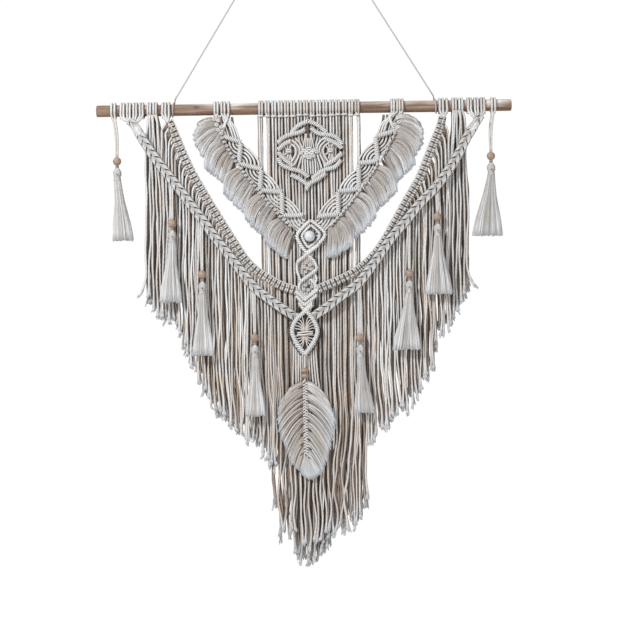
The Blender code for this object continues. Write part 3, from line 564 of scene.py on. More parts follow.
def down_to(tip, start, step, gap=8):
    """Drops by even steps from the start to near the tip, and the tip's own."""
    return np.append(np.arange(start, tip - gap, step), tip)


def panel_drops(tip):
    """Close drops through the leaf motif, wider ones below it, and the tip."""
    levels = np.concatenate([np.arange(14, 124, 6), np.arange(130, 700, 13)]).astype(float)
    return np.append(levels[levels < tip - 8], tip)


def ramp(value, start, length):
    """Rises evenly from 0 where the value is at the start to 1 a length on."""
    return np.clip((value - start) / length, 0, 1)


def placed(across, drops, y):
    """A run of points from their X and drops in mm and their y in metres."""
    return np.array([spot(*row) for row in zip(*np.broadcast_arrays(across, drops, y))])


def narrowed(x, drop):
    """Where a centre strand from x on the rod hangs at a drop: the panel narrows."""
    share = ramp(np.asarray(drop, float), 0, 600.0)
    return PANEL_X + (x - PANEL_X) * (1 - 0.13 * share) + 1.2 * share


RIDGE_SPOTS = np.vstack([drawn([(x, d, 0) for x, d in points], 2.0) for points in MOTIF])


def gloom(across, drops, deep=0.55):
    """How much light a strand keeps close under the ridges that lie on it."""
    wide = below = 3.4
    dx = across[:, None] - RIDGE_SPOTS[None, :, 0]
    dd = drops[:, None] - below - RIDGE_SPOTS[None, :, 1]
    return 1 - deep * np.exp(-(dx ** 2 + dd ** 2) / wide ** 2).max(1)


BRUSH_LENGTH = 0.0115
PALE_LENGTH = 0.03
BROWN_FROM, BROWN_OVER, BROWNER = 0.24, 0.22, 0.34


def unspun(skein, end, way, half, tone, shade, count):
    """The unspun end of a strand: a soft brush of fine fibres that opens a little."""
    drift = np.array([chance.normal(0, 0.14), 0.0, 0.0])
    length = BRUSH_LENGTH * chance.uniform(0.75, 1.25)
    open_by = chance.uniform(1.5, 2.5)
    for k in range(count):
        angle = 2.4 * k
        out = np.array([math.cos(angle), 0.6 * math.sin(angle), 0.0]) * half
        out = out * (0.78 if k % 3 else 0.30)
        reach = length * chance.uniform(0.70, 1.15)
        line = [end + out - way * 0.004, end + out * 1.12 + way * reach * 0.35,
                end + way * reach * 0.72 + out * (0.5 + 0.5 * open_by) + drift * reach * 0.4,
                end + way * reach + out * open_by + drift * reach]
        skein.cord(np.array(line), half * np.array([0.36, 0.50, 0.54, 0.34]), sides=3,
                   tone=tone + chance.normal(0, 0.2),
                   shade=(0.45 + 0.5 * shade) * chance.uniform(0.7, 1.1),
                   tip=np.array([0.1, 0.4, 0.7, 0.85]), dip=0.3, roll=chance.uniform(0, 2))


def hang(skein, run, half, sides, tone, shade, fray=10, step=0.0075):
    """One strand down its run, paler and thinner to its end and browner low on the hanging,
    then its unspun end of as many fibres as fray says."""
    path = drawn(run, step)
    gone = travelled(path)
    if np.ndim(shade):
        given_at = travelled(run)
        shade = np.interp(gone / gone[-1], given_at / given_at[-1], shade)
    left = gone[-1] - gone
    tip = (1 - ramp(left, 0, PALE_LENGTH)) * 0.45
    size = half * (1 + 0.10 * np.sin(gone * 190 + tone * 50) * ramp(left, 0, 0.02))
    size = size * (0.80 + 0.20 * ramp(left, 0, 0.006))
    browner = BROWNER * ramp(ROD_LEVEL - path[:, 2], BROWN_FROM, BROWN_OVER)
    skein.cord(path, size, sides=sides, tone=tone + browner, shade=shade, tip=tip, dip=0.8)
    way = path[-1] - path[-2]
    way /= np.linalg.norm(way)
    unspun(skein, path[-1] - way * 0.005, way, half, tone, np.mean(shade), fray)


AROUND_EYES = np.array(((0, 0), (2.3, 1.1), (6.9, 3.4), (11.5, 7.4), (16.1, 13.0),
                        (20.7, 16.4), (25.3, 19.4), (29.9, 28.0), (34.5, 30.6),
                        (39.1, 33.6), (43.7, 37.5), (48.0, 48.0), (90, 90)), float)


def through_motif(x, drop):
    """The panel's strands part round the two leaf eyes and gather in the knot between."""
    drop = np.asarray(drop, float)
    off = x - MOTIF_X
    parted = math.copysign(np.interp(abs(off), AROUND_EYES[:, 0], AROUND_EYES[:, 1]), off)
    share = ramp(drop, 40, 22) * (1 - ramp(drop, 68, 20))
    return MOTIF_X + off + (parted - off) * (share * share * (3 - 2 * share))


def panel_slit(x):
    """Strands keep out of the two slits that show the wall beside the leaf motif."""
    if -60.4 < x < -53.2:
        return -61.6 if x < -57 else -52.2
    if 69.3 < x < 76.5:
        return 68.3 if x < 73 else 77.6
    return x


def fringe_end(x, front):
    """Where a centre end stops: the panel's outer ends are shorter but for a few strays."""
    if x < -26 and chance.uniform() < (0.45 if front else 0.75):
        return 500 + (x + 50) * 0.5 + chance.uniform(-10, 14)
    if 38 < x < 80 and chance.uniform() < (0.40 if front else 0.72):
        return 508 - (x - 40) * 0.25 + chance.uniform(-12, 14)
    return tip_at(x) + chance.uniform(-14, 5)


panel = Skein()
for k, x in enumerate(centre_passes):
    tip = fringe_end(narrowed(x, LOW_DROP), True)
    outer = abs(narrowed(x, LOW_DROP) - 5) > 30
    behind = k % 2
    drops = panel_drops(tip)
    # In its place in the motif, then freer and freer below it.
    held = ramp(drops, 96, 60)
    across = through_motif(panel_slit(x), drops) * (1 - held) + narrowed(x, drops) * held
    across = across + wander(x, drops) * (0.25 + 0.75 * ramp(drops, 330, 120))
    across = across + chance.normal(0, 0.7) * ramp(drops, 105, 60)
    across = across + chance.normal(0, 2.2) * ramp(drops, 330, 200)
    stray = ramp(drops, 505, 60) * (1.0 if outer else 0.35)
    across = across + stray * 3.4 * np.sin(drops / 15.0 + k * (1.3 if outer else 0.25))
    across = across - ramp(drops, 475, 70) * (6.0 if outer else 1.5)
    # Every other strand sinks back low down, and all pass behind the column and feather.
    sunk = ramp(drops, 420, 60) * behind
    y = FRONT_Y + 0.0004 * math.sin(k * 1.9) - 0.0016 * ramp(drops, 340, 100) + 0.0040 * sunk
    # Painted shade: darker where a strand sinks back, under the ridges, behind the column and
    # feather and round the lower diamond, and a little where it leaves the rod.
    under = ramp(drops, 335, 25) * np.exp(-((across - COLUMN_X) / 31) ** 4)
    lit = chance.uniform(0.76, 1.06) * gloom(across, drops) * (1 - 0.30 * sunk)
    lit = lit * (1 - 0.36 * under - 0.22 * under * (1 - ramp(drops, 400, 30)))
    lit = lit * (1 - 0.42 * np.exp(-((across - COLUMN_X) / 25) ** 4 - ((drops - 312) / 27) ** 4))
    start_at = [[x * MM, -TURN_RADIUS * 0.80, ROD_LEVEL - 0.0068]]
    hang(panel, np.vstack([start_at, placed(across, drops, y)]),
         (0.00156 if behind else 0.00168) * chance.uniform(0.88, 1.12), 8,
         chance.uniform(0.05, 0.42) + 0.2 * behind, np.append(0.8, lit))
panel.made("panel_front_strands", strand_cotton, "centre_panel")

panel = Skein()
# Painted shade: the layers behind are darker and browner the deeper they lie, lighter near the
# top, darker low down, under the ridges and behind the lower diamond.
for layer, (y, half, dark, step) in enumerate(((BEHIND_Y, 0.0016, 0.80, 2.3),
                                              (BACK_Y, 0.0020, 0.54, 0.0))):
    for k in range(33):
        x = panel_slit(-66.0 + 4.55 * k + step)
        if x > 80:
            continue
        tip = fringe_end(narrowed(x, LOW_DROP), False) - chance.uniform(0, 16) * (0.5 + layer)
        drops = panel_drops(tip)
        held = ramp(drops, 96, 80)
        across = x * (1 - held) + narrowed(x, drops) * held
        loose = 0.3 + 0.7 * ramp(drops, 300, 150)
        across = across + wander(x + 40 * layer, drops, 0.8) * loose
        lit = dark * chance.uniform(0.75, 1.2) * gloom(across, drops, deep=0.4)
        lit = lit * (1 + 0.85 * (1 - ramp(drops, 92, 30)))
        lit = lit * (1 - 0.22 * ramp(drops, 480, 60))
        lit = lit * (1 - 0.45 * np.exp(-((across - COLUMN_X) / 26) ** 4
                                       - ((drops - 345) / 45) ** 4))
        start_at = [[x * MM, y * 0.8, ROD_LEVEL - 0.0102]]
        run = placed(across, drops, y + 0.0007 * np.sin(drops / 37.0 + k))
        hang(panel, np.vstack([start_at, run]), half, 6, chance.uniform(0.85, 1.3),
             np.append(dark, lit), fray=6, step=0.0135)
# Thick ends fill the fringe from behind, in its middle and on both of its sides, darker and
# browner as painted shade.
for k in range(15):
    x = -38.0 + 5.9 * k
    drops = down_to(tip_at(x) - chance.uniform(8, 34), 300, 24.0, gap=10)
    run = placed(x + wander(x * 0.5, drops, 0.7), drops, -0.0030)
    hang(panel, run, 0.0021, 6, chance.uniform(0.9, 1.4), chance.uniform(0.50, 0.80), fray=6,
         step=0.0150)
for x in (-70, -66, -62, -58, 66, 70, 74, 78):
    drops = down_to(tip_at(x) - chance.uniform(8, 24), 262, 24.0, gap=10)
    run = placed(x + wander(x * 0.5, drops, 0.4), drops, -0.0026)
    hang(panel, run, 0.0022, 6, chance.uniform(0.9, 1.4), chance.uniform(0.40, 0.62), fray=6,
         step=0.0150)
panel.made("panel_back_strands", strand_cotton)

# ---------------------------------------------------------------------------------------
# Leaf motif. Ridges of double half hitches: each end is wound twice round a carrying cord,
# close beside the last one, so that a ridge reads as a tight coil.


def ridge(skein, points, half=0.0033, pitch=0.0031, shade=1.0, tone=0.2):
    """A wound ridge along the points: its core, dark as painted shade between the turns, and the
    coil round it. pitch is the step from turn to turn, which sets how thick the winding cord is."""
    flat, lean, per_turn = 0.92, 0.35, 10
    path = drawn(points, 0.0016)
    gone = travelled(path)
    turns = max(2, round(gone[-1] / pitch))
    spots = np.linspace(0, gone[-1], turns * per_turn + 1)
    middle = np.stack([np.interp(spots, gone, path[:, c]) for c in range(3)], 1)
    along, side, up = axes(middle)
    thick = gone[-1] / turns * 0.53
    reach = half - thick
    angle = 2 * math.pi * np.arange(len(spots)) / per_turn
    coil = (middle + side * (np.cos(angle) * reach)[:, None]
            + up * (np.sin(angle) * reach * flat)[:, None]
            + along * (np.cos(angle) * lean * thick)[:, None])
    wave = 1 + 0.07 * np.sin(np.arange(len(spots)) * 0.63)
    skein.cord(path, reach * 0.9, tone=0.9, shade=0.30)
    skein.cord(coil, thick * wave, tone=tone, shade=shade, beside=along,
               dip=0.72, ref=along)


def knot(skein, x, drop, y, size=0.0030, tone=0.2, lean=0.0, shade=0.95):
    """A small square knot: two bars across, held by two short loops."""
    c, s = math.cos(lean), math.sin(lean)

    def put(a, b, out):
        return spot(x + (a * c - b * s), drop + (a * s + b * c), y - out)

    r = size / MM
    for b, bulge in ((-0.42 * r, 0.0), (0.42 * r, 0.0004)):
        run = [put(-r * 0.95, b * 0.7, -size * 0.7), put(-r * 0.66, b, size * 0.28 + bulge),
               put(0, b * 1.1, size * 0.60 + bulge), put(r * 0.66, b, size * 0.28 + bulge),
               put(r * 0.95, b * 0.7, -size * 0.7)]
        skein.cord(drawn(run, 0.0013), size * 0.46, tone=tone, shade=shade,
                   beside=(0, 0, 1), dip=0.75, ref=(0, 0.4, 1))
    for a in (-0.70 * r, 0.70 * r):
        run = [put(a * 0.7, -r * 0.85, -size * 0.4), put(a * 1.05, -r * 0.30, size * 0.50),
               put(a * 1.05, r * 0.30, size * 0.50), put(a * 0.7, r * 0.85, -size * 0.4)]
        skein.cord(drawn(run, 0.0013), size * 0.38, tone=tone + 0.1,
                   shade=shade * 0.95, dip=0.75)


def string(skein, points, half=0.00165, tone=0.3, shade=0.9, y=None, dip=0.7):
    """A short strand between knots, through points of X, drop and y, or all at one y."""
    run = [spot(p[0], p[1], p[2] if y is None else y) for p in points]
    skein.cord(drawn(run, 0.0032), half, tone=tone, shade=shade, dip=dip)


def shadow(skein, points, y, half, shade=0.05):
    """A dark strand of painted shade that stands for the depth of an opening."""
    string(skein, points, y=y, half=half, tone=1.0, shade=shade)


def laid(points, y):
    """Points of X and drop, all at one depth."""
    return [spot(x, d, y) for x, d in points]


MOTIF_Y = -0.0136
motif = Skein()
for k, points in enumerate(MOTIF):
    ridge(motif, laid(points, MOTIF_Y), half=0.0035, pitch=0.0027, tone=0.06 + 0.05 * (k % 3))
# Each eye of the leaf: strands bowed round it, and a knot with its short ends.
for mirror in (1, -1):
    for points in (((-18, 47), (-8.5, 56), (-7.5, 67), (-16, 85)),
                   ((-13, 44), (-4.5, 55), (-3.8, 68), (-10, 88)),
                   ((-24, 49), (-14, 57), (-12.5, 66), (-20, 80))):
        string(motif, [(MOTIF_X + (x - MOTIF_X) * mirror, d) for x, d in points], y=-0.0122,
               tone=chance.uniform(0.0, 0.4), shade=1.0)
    x = MOTIF_X - 30.0 * mirror
    knot(motif, x, 62.5, -0.0124, size=0.0036, tone=0.1)
    for (off0, d0), (off1, d1) in (((-8, 54), (-3, 60)), ((-3, 52), (-1, 59)),
                                   ((5, 50), (1.5, 59)), ((-2.5, 65), (-9, 70)),
                                   ((-0.5, 66), (-3, 75)), ((1.5, 65), (5, 79))):
        string(motif, [(x + off0, d0), (x + off1, d1)], y=-0.0112, tone=0.2, half=0.0015)
for k in range(6):
    off = k - 2.5
    string(motif, [(5.8 + off * 1.5, 38), (5.8 + off * 2.3, 48), (6.0 + off * 3.2, 60)],
           y=-0.0122, half=0.00125, tone=chance.uniform(0, 0.3), shade=1.0, dip=0.9)
    string(motif, [(6.0 + off * 3.0, 70), (6.2 + off * 3.7, 80), (6.8 + off * 3.6, 97)],
           y=-0.0124, half=0.0015, tone=chance.uniform(0, 0.3), shade=1.0, dip=0.85)
# Painted shade in the openings above and below the middle knot, then the small knots that it is
# made of.
for d0, d1, x, wide in ((29, 44, 5.7, 0.0021), (88, 100, 6.9, 0.0013),
                        (103, 109, 7.2, 0.0018)):
    shadow(motif, [(x, d0), (x, d1)], -0.0128, wide, shade=0.06)
for x, d, size, lean in (
        (6.4, 60.2, 0.0036, 0.0), (-0.6, 62.6, 0.0031, 0.3), (13.4, 62.2, 0.0031, -0.3),
        (3.0, 65.8, 0.0034, 0.5), (9.8, 66.0, 0.0034, -0.5), (-4.8, 66.2, 0.0027, 0.1),
        (17.4, 64.6, 0.0027, -0.1), (0.4, 70.2, 0.0030, -0.4), (12.4, 70.0, 0.0030, 0.4),
        (6.4, 72.2, 0.0035, 0.0)):
    knot(motif, x, d, -0.0142, size=size, tone=chance.uniform(0.0, 0.3), lean=lean, shade=1.0)
motif.made("leaf_motif", strand_cotton)

# ---------------------------------------------------------------------------------------
# Side strands. A few plain ends hang from the rod behind the plaits, on both sides.
for side, passes, spread in (("left", left_side_passes, (-231, -203)),
                             ("right", right_side_passes, (206, 234))):
    strands = Skein()
    # Painted shade: deeper layers are darker and browner.
    for layer, (y, dark, count) in enumerate(((FRONT_Y, 1.0, 6), (BEHIND_Y, 0.80, 6),
                                              (BACK_Y, 0.55, 7))):
        for k in range(count):
            x0 = np.interp(k / (count - 1), [0, 1], [min(passes), max(passes)])
            x1 = np.interp((k + 0.4 * layer) / (count - 1), [0, 1], spread)
            tip = tip_at(x1) + chance.uniform(-14, 4)
            drops = down_to(tip, 18.0, 12)
            reach = 1 - np.exp(-drops / 90.0)
            across = x0 + (x1 - x0) * reach + wander(x1 * 0.3 + 17 * layer, drops, 0.8)
            if layer == 0 and k == (0 if side == "left" else count - 1):
                # The outermost end flicks out, as it does in the photo.
                across = across + math.copysign(6.5, x1) * ramp(drops, tip - 30, 30) ** 2
            start_y = -TURN_RADIUS * 0.80 if layer == 0 else 0.003
            run = np.vstack([[[x0 * MM, start_y, ROD_LEVEL - 0.0072]],
                             placed(across, drops, y + 0.0012 * layer)])
            hang(strands, run, (0.0017, 0.0017, 0.0024)[layer], 6,
                 chance.uniform(0.0, 0.5) if layer == 0 else chance.uniform(0.7, 1.1),
                 dark * chance.uniform(0.85, 1.05), fray=9 - layer)
    strands.made(side + "_side_strands", strand_cotton, side + "_strands")

# ---------------------------------------------------------------------------------------
# Inner swags. A carrying cord hangs from the rod to the middle, hitched close with folded
# cords: two bars of hitches side by side, and below them the hanging ends.
SWAG_Y = -0.0150
HITCH_PITCH = 0.0036
# Each swag's curve, then the first and last X and the count of its hanging ends, and the
# first and last X and the count of its passes on the rod.
SWAGS = {
    "left": ((-195, 17), (-190, 27), (-179, 57), (-164, 91), (-148, 120), (-127, 156),
             (-95, 208), (-78, 229), (-60, 243), (-38, 256), (-19.5, 262.5), (-12.0, 265.5)),
    "right": ((200, 17), (196, 32), (181, 68), (166, 104), (147, 136), (129, 168),
              (111, 198), (92, 221), (71, 238), (47, 250), (21.5, 260.5), (13.5, 264.0)),
}
SWAG_ENDS = {"left": (-205, -46, 34), "right": (207, 60, 31)}
SWAG_PASSES = {"left": (-206.6, -192.0, 3), "right": (193.4, 208.6, 3)}


def marks(path, pitch):
    """Even marks along a run, each with its place, its way and the way across."""
    gone = travelled(path)
    places = np.arange(pitch / 2, gone[-1], pitch)
    middle = np.stack([np.interp(places, gone, path[:, c]) for c in range(3)], 1)
    along = np.stack([np.interp(places, gone, np.gradient(path[:, c], gone))
                      for c in range(3)], 1)
    along /= np.linalg.norm(along, axis=1)[:, None]
    return middle, along, np.cross(along, (0, 1, 0))


for side, way in (("left", 1), ("right", -1)):
    band = Skein()
    xs = hitched(band, *SWAG_PASSES[side], bars=False)
    route = drawn(laid(SWAGS[side], SWAG_Y), 0.004)
    for x in xs:
        band.cord(drawn([spot(x, 0, -TURN_RADIUS), spot(x, 8, -0.0108),
                         spot(SWAGS[side][0][0], 20, SWAG_Y), route[3], route[5]], 0.003),
                  CORD_HALF, sides=8, tone=0.3, shade=0.9)
    middle, along, across = marks(route, HITCH_PITCH)
    for k, (m, a, c) in enumerate(zip(middle, along, across * way)):
        tone = chance.uniform(0.0, 0.25)
        grow = min(1.0, 0.75 + k * 0.03)
        low = min(1.0, max(0.0, (k / len(middle) - 0.62) * 5.0))
        m = m + a * (0.00045 * (1 if k % 2 else -1) + chance.normal(0, 0.00012))
        # The two bars of a hitch: from and to across the band, how far they stand out.
        for near, far, out, half in ((0.0008 * low, 0.0062 - 0.0014 * low, 0.0030, 0.00152),
                                     (-0.0050, -0.0010 + 0.0004 * low, 0.0022, 0.00142)):
            tilt = a * chance.normal(0, 0.0003)
            run = []
            for part, lean, lift in ((0.0, -1.0, -0.0022), (0.2, -0.6, out * 0.6), (0.5, 0.0, out),
                                     (0.8, 0.6, out * 0.6), (1.0, 1.0, -0.0022)):
                run.append(m + c * (near + (far - near) * part) * grow + tilt * lean
                           - np.array([0, lift, 0]))
            band.cord(drawn(run, 0.0016), half * grow * chance.uniform(0.92, 1.06),
                      tone=tone, shade=chance.uniform(0.88, 1.0), beside=a, dip=0.85,
                      ref=(0.2, 1, 0.2))
    outward = axes(route)[1] * way
    # Dark cords of painted shade fill what shows between the hitches, and a thin carrying cord
    # ends the band.
    for off in (0.0034, 0.0, -0.0034):
        band.cord(route + outward * off, 0.0019, tone=0.9, shade=0.18 - 0.02 * (off > 0))
    band.cord(route + outward * 0.0060 - (0, 0.0012, 0), 0.0010, tone=0.2, shade=0.88)
    band.made(side + "_swag_band", strand_cotton, side + "_swag")

    curtain = Skein()
    drops_at = np.array([(p[0], p[1]) for p in SWAGS[side]], float)
    order = np.argsort(drops_at[:, 0])
    first, last, count = SWAG_ENDS[side]
    # Painted shade: deeper layers are darker and browner.
    for layer, (y, dark, half) in enumerate(((-0.0129, 1.0, 0.00150), (-0.0094, 0.78, 0.00155),
                                             (-0.0056, 0.46, 0.00245))):
        for k in range(count):
            x = first + (last - first) * (k + 0.33 * layer) / count + chance.normal(0, 0.45)
            lean = chance.normal(0, 1.1)
            share = abs(x - first) / abs(last - first)
            root_x = x + way * (7.5 - 5.5 * share)
            begin = np.interp(root_x, drops_at[order, 0], drops_at[order, 1]) + 3.0
            tip = tip_at(x) + chance.uniform(-9, 5) - 5 * layer
            reach = 22.0 + 10.0 * share
            drops = down_to(tip, begin + reach, 12.5)
            loose = 0.5 + 0.7 * ramp(drops, begin + 60, 120)
            across = (x + wander(x * 0.3 + 30 * layer, drops, loose)
                      + lean * (drops - begin) / 150.0)
            run = [spot(root_x + way * 1.0, begin - 1.0, -0.0148),
                   spot(root_x - way * 2.0, begin + 3.0, -0.0146),
                   spot(x + way * 0.7, begin + reach * 0.45, y - 0.0006)]
            run = np.vstack([run, placed(across, drops, y + 0.0005 * np.sin(drops / 29.0 + k))])
            hang(curtain, run, half * chance.uniform(0.84, 1.16), 6 if layer else 8,
                 chance.uniform(0.75, 1.2) if layer else chance.uniform(0.0, 0.45),
                 dark * chance.uniform(0.90, 1.16), fray=10 - 2 * layer,
                 step=0.0150 if layer else 0.0085)
    curtain.made(side + "_swag_strands", strand_cotton)

# ---------------------------------------------------------------------------------------
# Outer swags. Eight cords on the left and six on the right fan from the rod into a flat
# plait of three bundles, which hangs in a long curve and ends behind the middle column.
BRAID_Y = -0.0212
PLAIT_PERIOD, PLAIT_WIDE, PLAIT_DEEP = 0.0345, 0.0061, 0.0019
BRAIDS = {
    "left": ((-251, 16), (-243, 24), (-231, 45), (-215, 70), (-198, 93), (-180, 116),
             (-163, 140), (-146, 163), (-130, 186), (-105, 219), (-77, 256), (-57, 273),
             (-37, 288), (-19, 300), (-14.5, 303)),
    "right": ((254, 16), (249, 24), (235, 45), (220, 73), (205, 96), (186, 120),
              (164, 142), (145, 165), (123, 190), (106, 214), (79, 250), (65, 262),
              (46, 275), (29, 288), (12.5, 299), (7.0, 302.6)),
}
BRAID_PASSES = {"left": (-266.2, -229.8, 8), "right": (234.6, 262.6, 6)}

for side, way in (("left", 1), ("right", -1)):
    plait = Skein()
    xs = hitched(plait, *BRAID_PASSES[side], low=11.0)
    route = drawn(laid(BRAIDS[side], BRAID_Y), 0.0012)
    gone = travelled(route)
    route[:, 1] += 0.0050 * (1 - ramp(gone[-1] - gone, 0.003, 0.022)) ** 2
    along = np.gradient(route, axis=0)
    along /= np.linalg.norm(along, axis=1)[:, None]
    across = np.cross(along, (0, 1, 0))
    for x in xs:
        off = (x - np.mean(xs)) * 0.28 * MM
        plait.cord(drawn([spot(x, 0, -TURN_RADIUS), spot(x, 8, -0.0112),
                          spot(x * 0.75 + route[6][0] / MM * 0.25, 14, -0.0150),
                          route[12] - across[12] * off, route[24] - across[24] * off * 0.6],
                         0.003),
                   0.00175, sides=8, tone=chance.uniform(0, 0.4), shade=0.92)
    grow = np.clip(gone / 0.02, 0.85, 1.0)
    for bundle in range(3):
        phase = 2 * math.pi * (gone / PLAIT_PERIOD + bundle / 3)
        for strand in (-2, -1, 0, 1, 2):
            lead = phase + strand * 0.30
            line = route + across * (np.sin(lead) * PLAIT_WIDE * grow)[:, None]
            line[:, 1] -= np.sin(2 * lead) * PLAIT_DEEP
            # Painted light and shade: each strand is lighter where it comes forward and darker
            # where it goes back.
            lit = 0.80 + 0.24 * np.sin(2 * lead) + 0.05 * np.sin(gone * 700 + strand * 2)
            plait.cord(line, 0.00090, sides=5, tone=0.02 + 0.05 * (strand + 2), shade=lit,
                       dip=0.95)
    # A flat dark cord of painted shade behind the plait.
    plait.cord(route[::3] + (0, 0.0012, 0), 0.0034, tone=0.8, shade=0.22, flat=0.4)
    plait.made(side + "_plait", strand_cotton, side + "_braid")

# ---------------------------------------------------------------------------------------
# Garland arms. Five passes on the rod cross in small knots, then run as a zigzag of wound
# ridges with quarter circles of strands in its bays.
GARLAND_Y, GARLAND_EDGE_Y = -0.0146, -0.0150
LOCK_PITCH = 0.0064
ARMS_X_SUM = 11.0
ZIGZAG = {
    "left": (
        ((-117, 40.5), (-92, 48.5)), ((-91.5, 50), (-94.5, 78)),
        ((-95, 80), (-62.5, 88)), ((-62.5, 89), (-65, 116)),
        ((-66, 118.5), (-34, 121.5)), ((-33.5, 122), (-33.7, 153)),
        ((-35, 156), (-4, 155)),
    ),
    "right": (
        ((128, 37), (103, 43.5)), ((102.5, 45), (105, 77)),
        ((106, 79), (78.5, 81.5)), ((77.5, 83), (77.5, 117)),
        ((78.5, 119), (48, 121.5)), ((47, 123), (47.5, 153)),
        ((48.5, 155), (17.5, 157)),
    ),
}
BAYS = {
    "left": ((-93.5, 79), (-65, 118), (-34, 155.5)),
    "right": ((105, 78.5), (77.5, 119), (47.5, 155)),
}
GARLAND_EDGE = {
    "left": ((-118, 40), (-96, 79), (-67, 117), (-35, 156), (-19, 171)),
    "right": ((130, 37), (107, 78), (79, 118), (49, 155), (33.5, 171)),
}
GARLAND_PASSES = {"left": (-131.4, -106.6, 5), "right": (124.2, 144.4, 5)}
UNDER_BAYS = {
    "left": ((-92, 49), (-63, 88.5), (-34, 122), (0, 157)),
    "right": ((102.5, 44.5), (78, 82), (47.5, 122), (14, 158)),
}


def bay(skein, cx, cd, way, down, y, shade, slope):
    """Strands in quarter circles about a ridge's corner, with dark strands of painted shade
    behind them. The outer ones run straighter. slope is how steeply the ridge that they start
    from falls to the corner."""
    for radius, power in ((6.2, 1.0), (11.0, 1.0), (16.0, 1.06), (21.4, 1.26), (27.4, 1.5)):
        for under in (0, 1):
            r = radius - 2.5 * under
            run = [(cx + way * r, cd - down * (1.5 + slope * radius))]
            for angle in np.radians(np.linspace(3, 87, 9)):
                run.append((cx + way * r * math.cos(angle) ** power,
                            cd + down * r * math.sin(angle) ** power * 1.04))
            string(skein, run, y=y + 0.0030 * under, half=0.0022 if under else 0.00168,
                   tone=1.0 if under else chance.uniform(0.0, 0.3),
                   shade=0.07 if under else shade, dip=0.5)


for side, way in (("left", 1), ("right", -1)):
    arm = Skein()
    xs = hitched(arm, *GARLAND_PASSES[side], bars=False)

    def out_of(x):
        """X of a place on the left arm, or of its like on the right arm."""
        return x if way > 0 else ARMS_X_SUM - x

    xs = sorted(xs, key=lambda x: -way * x)
    for k, x in enumerate(xs):
        if k < 3:
            string(arm, [(x, 7.0, -0.0110), (x * 0.6 + out_of(-112) * 0.4, 13, -0.0124),
                         (out_of(-100.5 - 3.4 * k), 26, -0.0124),
                         (out_of(-94.0 - 4.0 * k), 44, -0.0118)],
                   half=0.0017, tone=0.1 * k, shade=1.0)
            string(arm, [(x, 9, -0.0118), (out_of(-111 - k), 17, -0.0146),
                         (out_of(-118 - 1.6 * k), 34, -0.0136)],
                   half=0.0017, tone=0.2, shade=0.95)
        else:
            string(arm, [(x, 7.0, -0.0110), (out_of(-133 + 2 * k), 16, -0.0120),
                         (out_of(-128 + 2 * k), 38, -0.0116)], tone=0.2)
            string(arm, [(x, 9, -0.0112), (out_of(-118), 24, -0.0118),
                         (out_of(-105 - 2 * k), 42, -0.0112)], tone=0.4, shade=0.8)
    # Dark strands of painted shade behind the arm's start.
    for k in range(5):
        string(arm, [(out_of(-126 + 5.5 * k), 12, -0.0082),
                     (out_of(-120 + 4.6 * k), 26, -0.0080),
                     (out_of(-116 + 5.4 * k), 44, -0.0084)], half=0.0021, tone=0.9, shade=0.3)
    for x, d, size in ((-129.5, 15.5, 0.0031), (-124.0, 17.5, 0.0028), (-126.0, 23.5, 0.0031),
                       (-123.6, 31.0, 0.0031), (-119.4, 27.0, 0.0028), (-119.5, 36.0, 0.0029)):
        knot(arm, out_of(x), d, -0.0150, size=size, tone=chance.uniform(0, 0.3),
             lean=(0.5 + chance.normal(0, 0.2)) * way)
    for k, (a, b) in enumerate(ZIGZAG[side]):
        y = GARLAND_Y - 0.0007 * (k % 2)
        ridge(arm, laid((a, b), y), half=0.0038, pitch=0.0027, tone=0.05)
    falls = [(b[1] - a[1]) / abs(b[0] - a[0]) for a, b in ZIGZAG[side][::2]]
    for (cx, cd), fall in zip(BAYS[side], falls[1:]):
        bay(arm, cx, cd, way, -1, -0.0118, 1.0, fall)
    for (cx, cd), fall in zip(UNDER_BAYS[side], falls):
        bay(arm, cx, cd, -way, 1, -0.0114, 0.95, fall)
    # Where each lock of the fringe is knotted on, a short tilted coil.
    middle, along, across = marks(drawn(laid(GARLAND_EDGE[side], GARLAND_EDGE_Y), 0.004),
                                  LOCK_PITCH)
    for k, m in enumerate(middle):
        m = m - np.array([way * (1.9 + 0.5 * math.sin(k * 2.1)) * MM, 0.0040, 0])
        tilted = (along[k] + np.array([way * 0.35, 0, 0.35])) * 0.0020
        ridge(arm, [m - tilted, m + tilted], half=0.0026, pitch=0.0023,
              tone=chance.uniform(0, 0.3), shade=chance.uniform(0.9, 1.0))
    arm.made(side + "_garland_arm", strand_cotton, side + "_garland")

# ---------------------------------------------------------------------------------------
# Garland fringe. The ends that leave the arm's outer edge are combed out flat, bowed over
# and cut along slanting lines, so they overlap like the vanes of a wing.
fringe_cotton = cotton("combed_cotton", (0.87, 0.865, 0.865), (0.68, 0.585, 0.50),
                       (0.13, 0.085, 0.058), (0.74, 0.755, 0.785), plies=1, lay=0.06,
                       relief=0.30, streaks=1.1, lines=16.0, length=55.0)


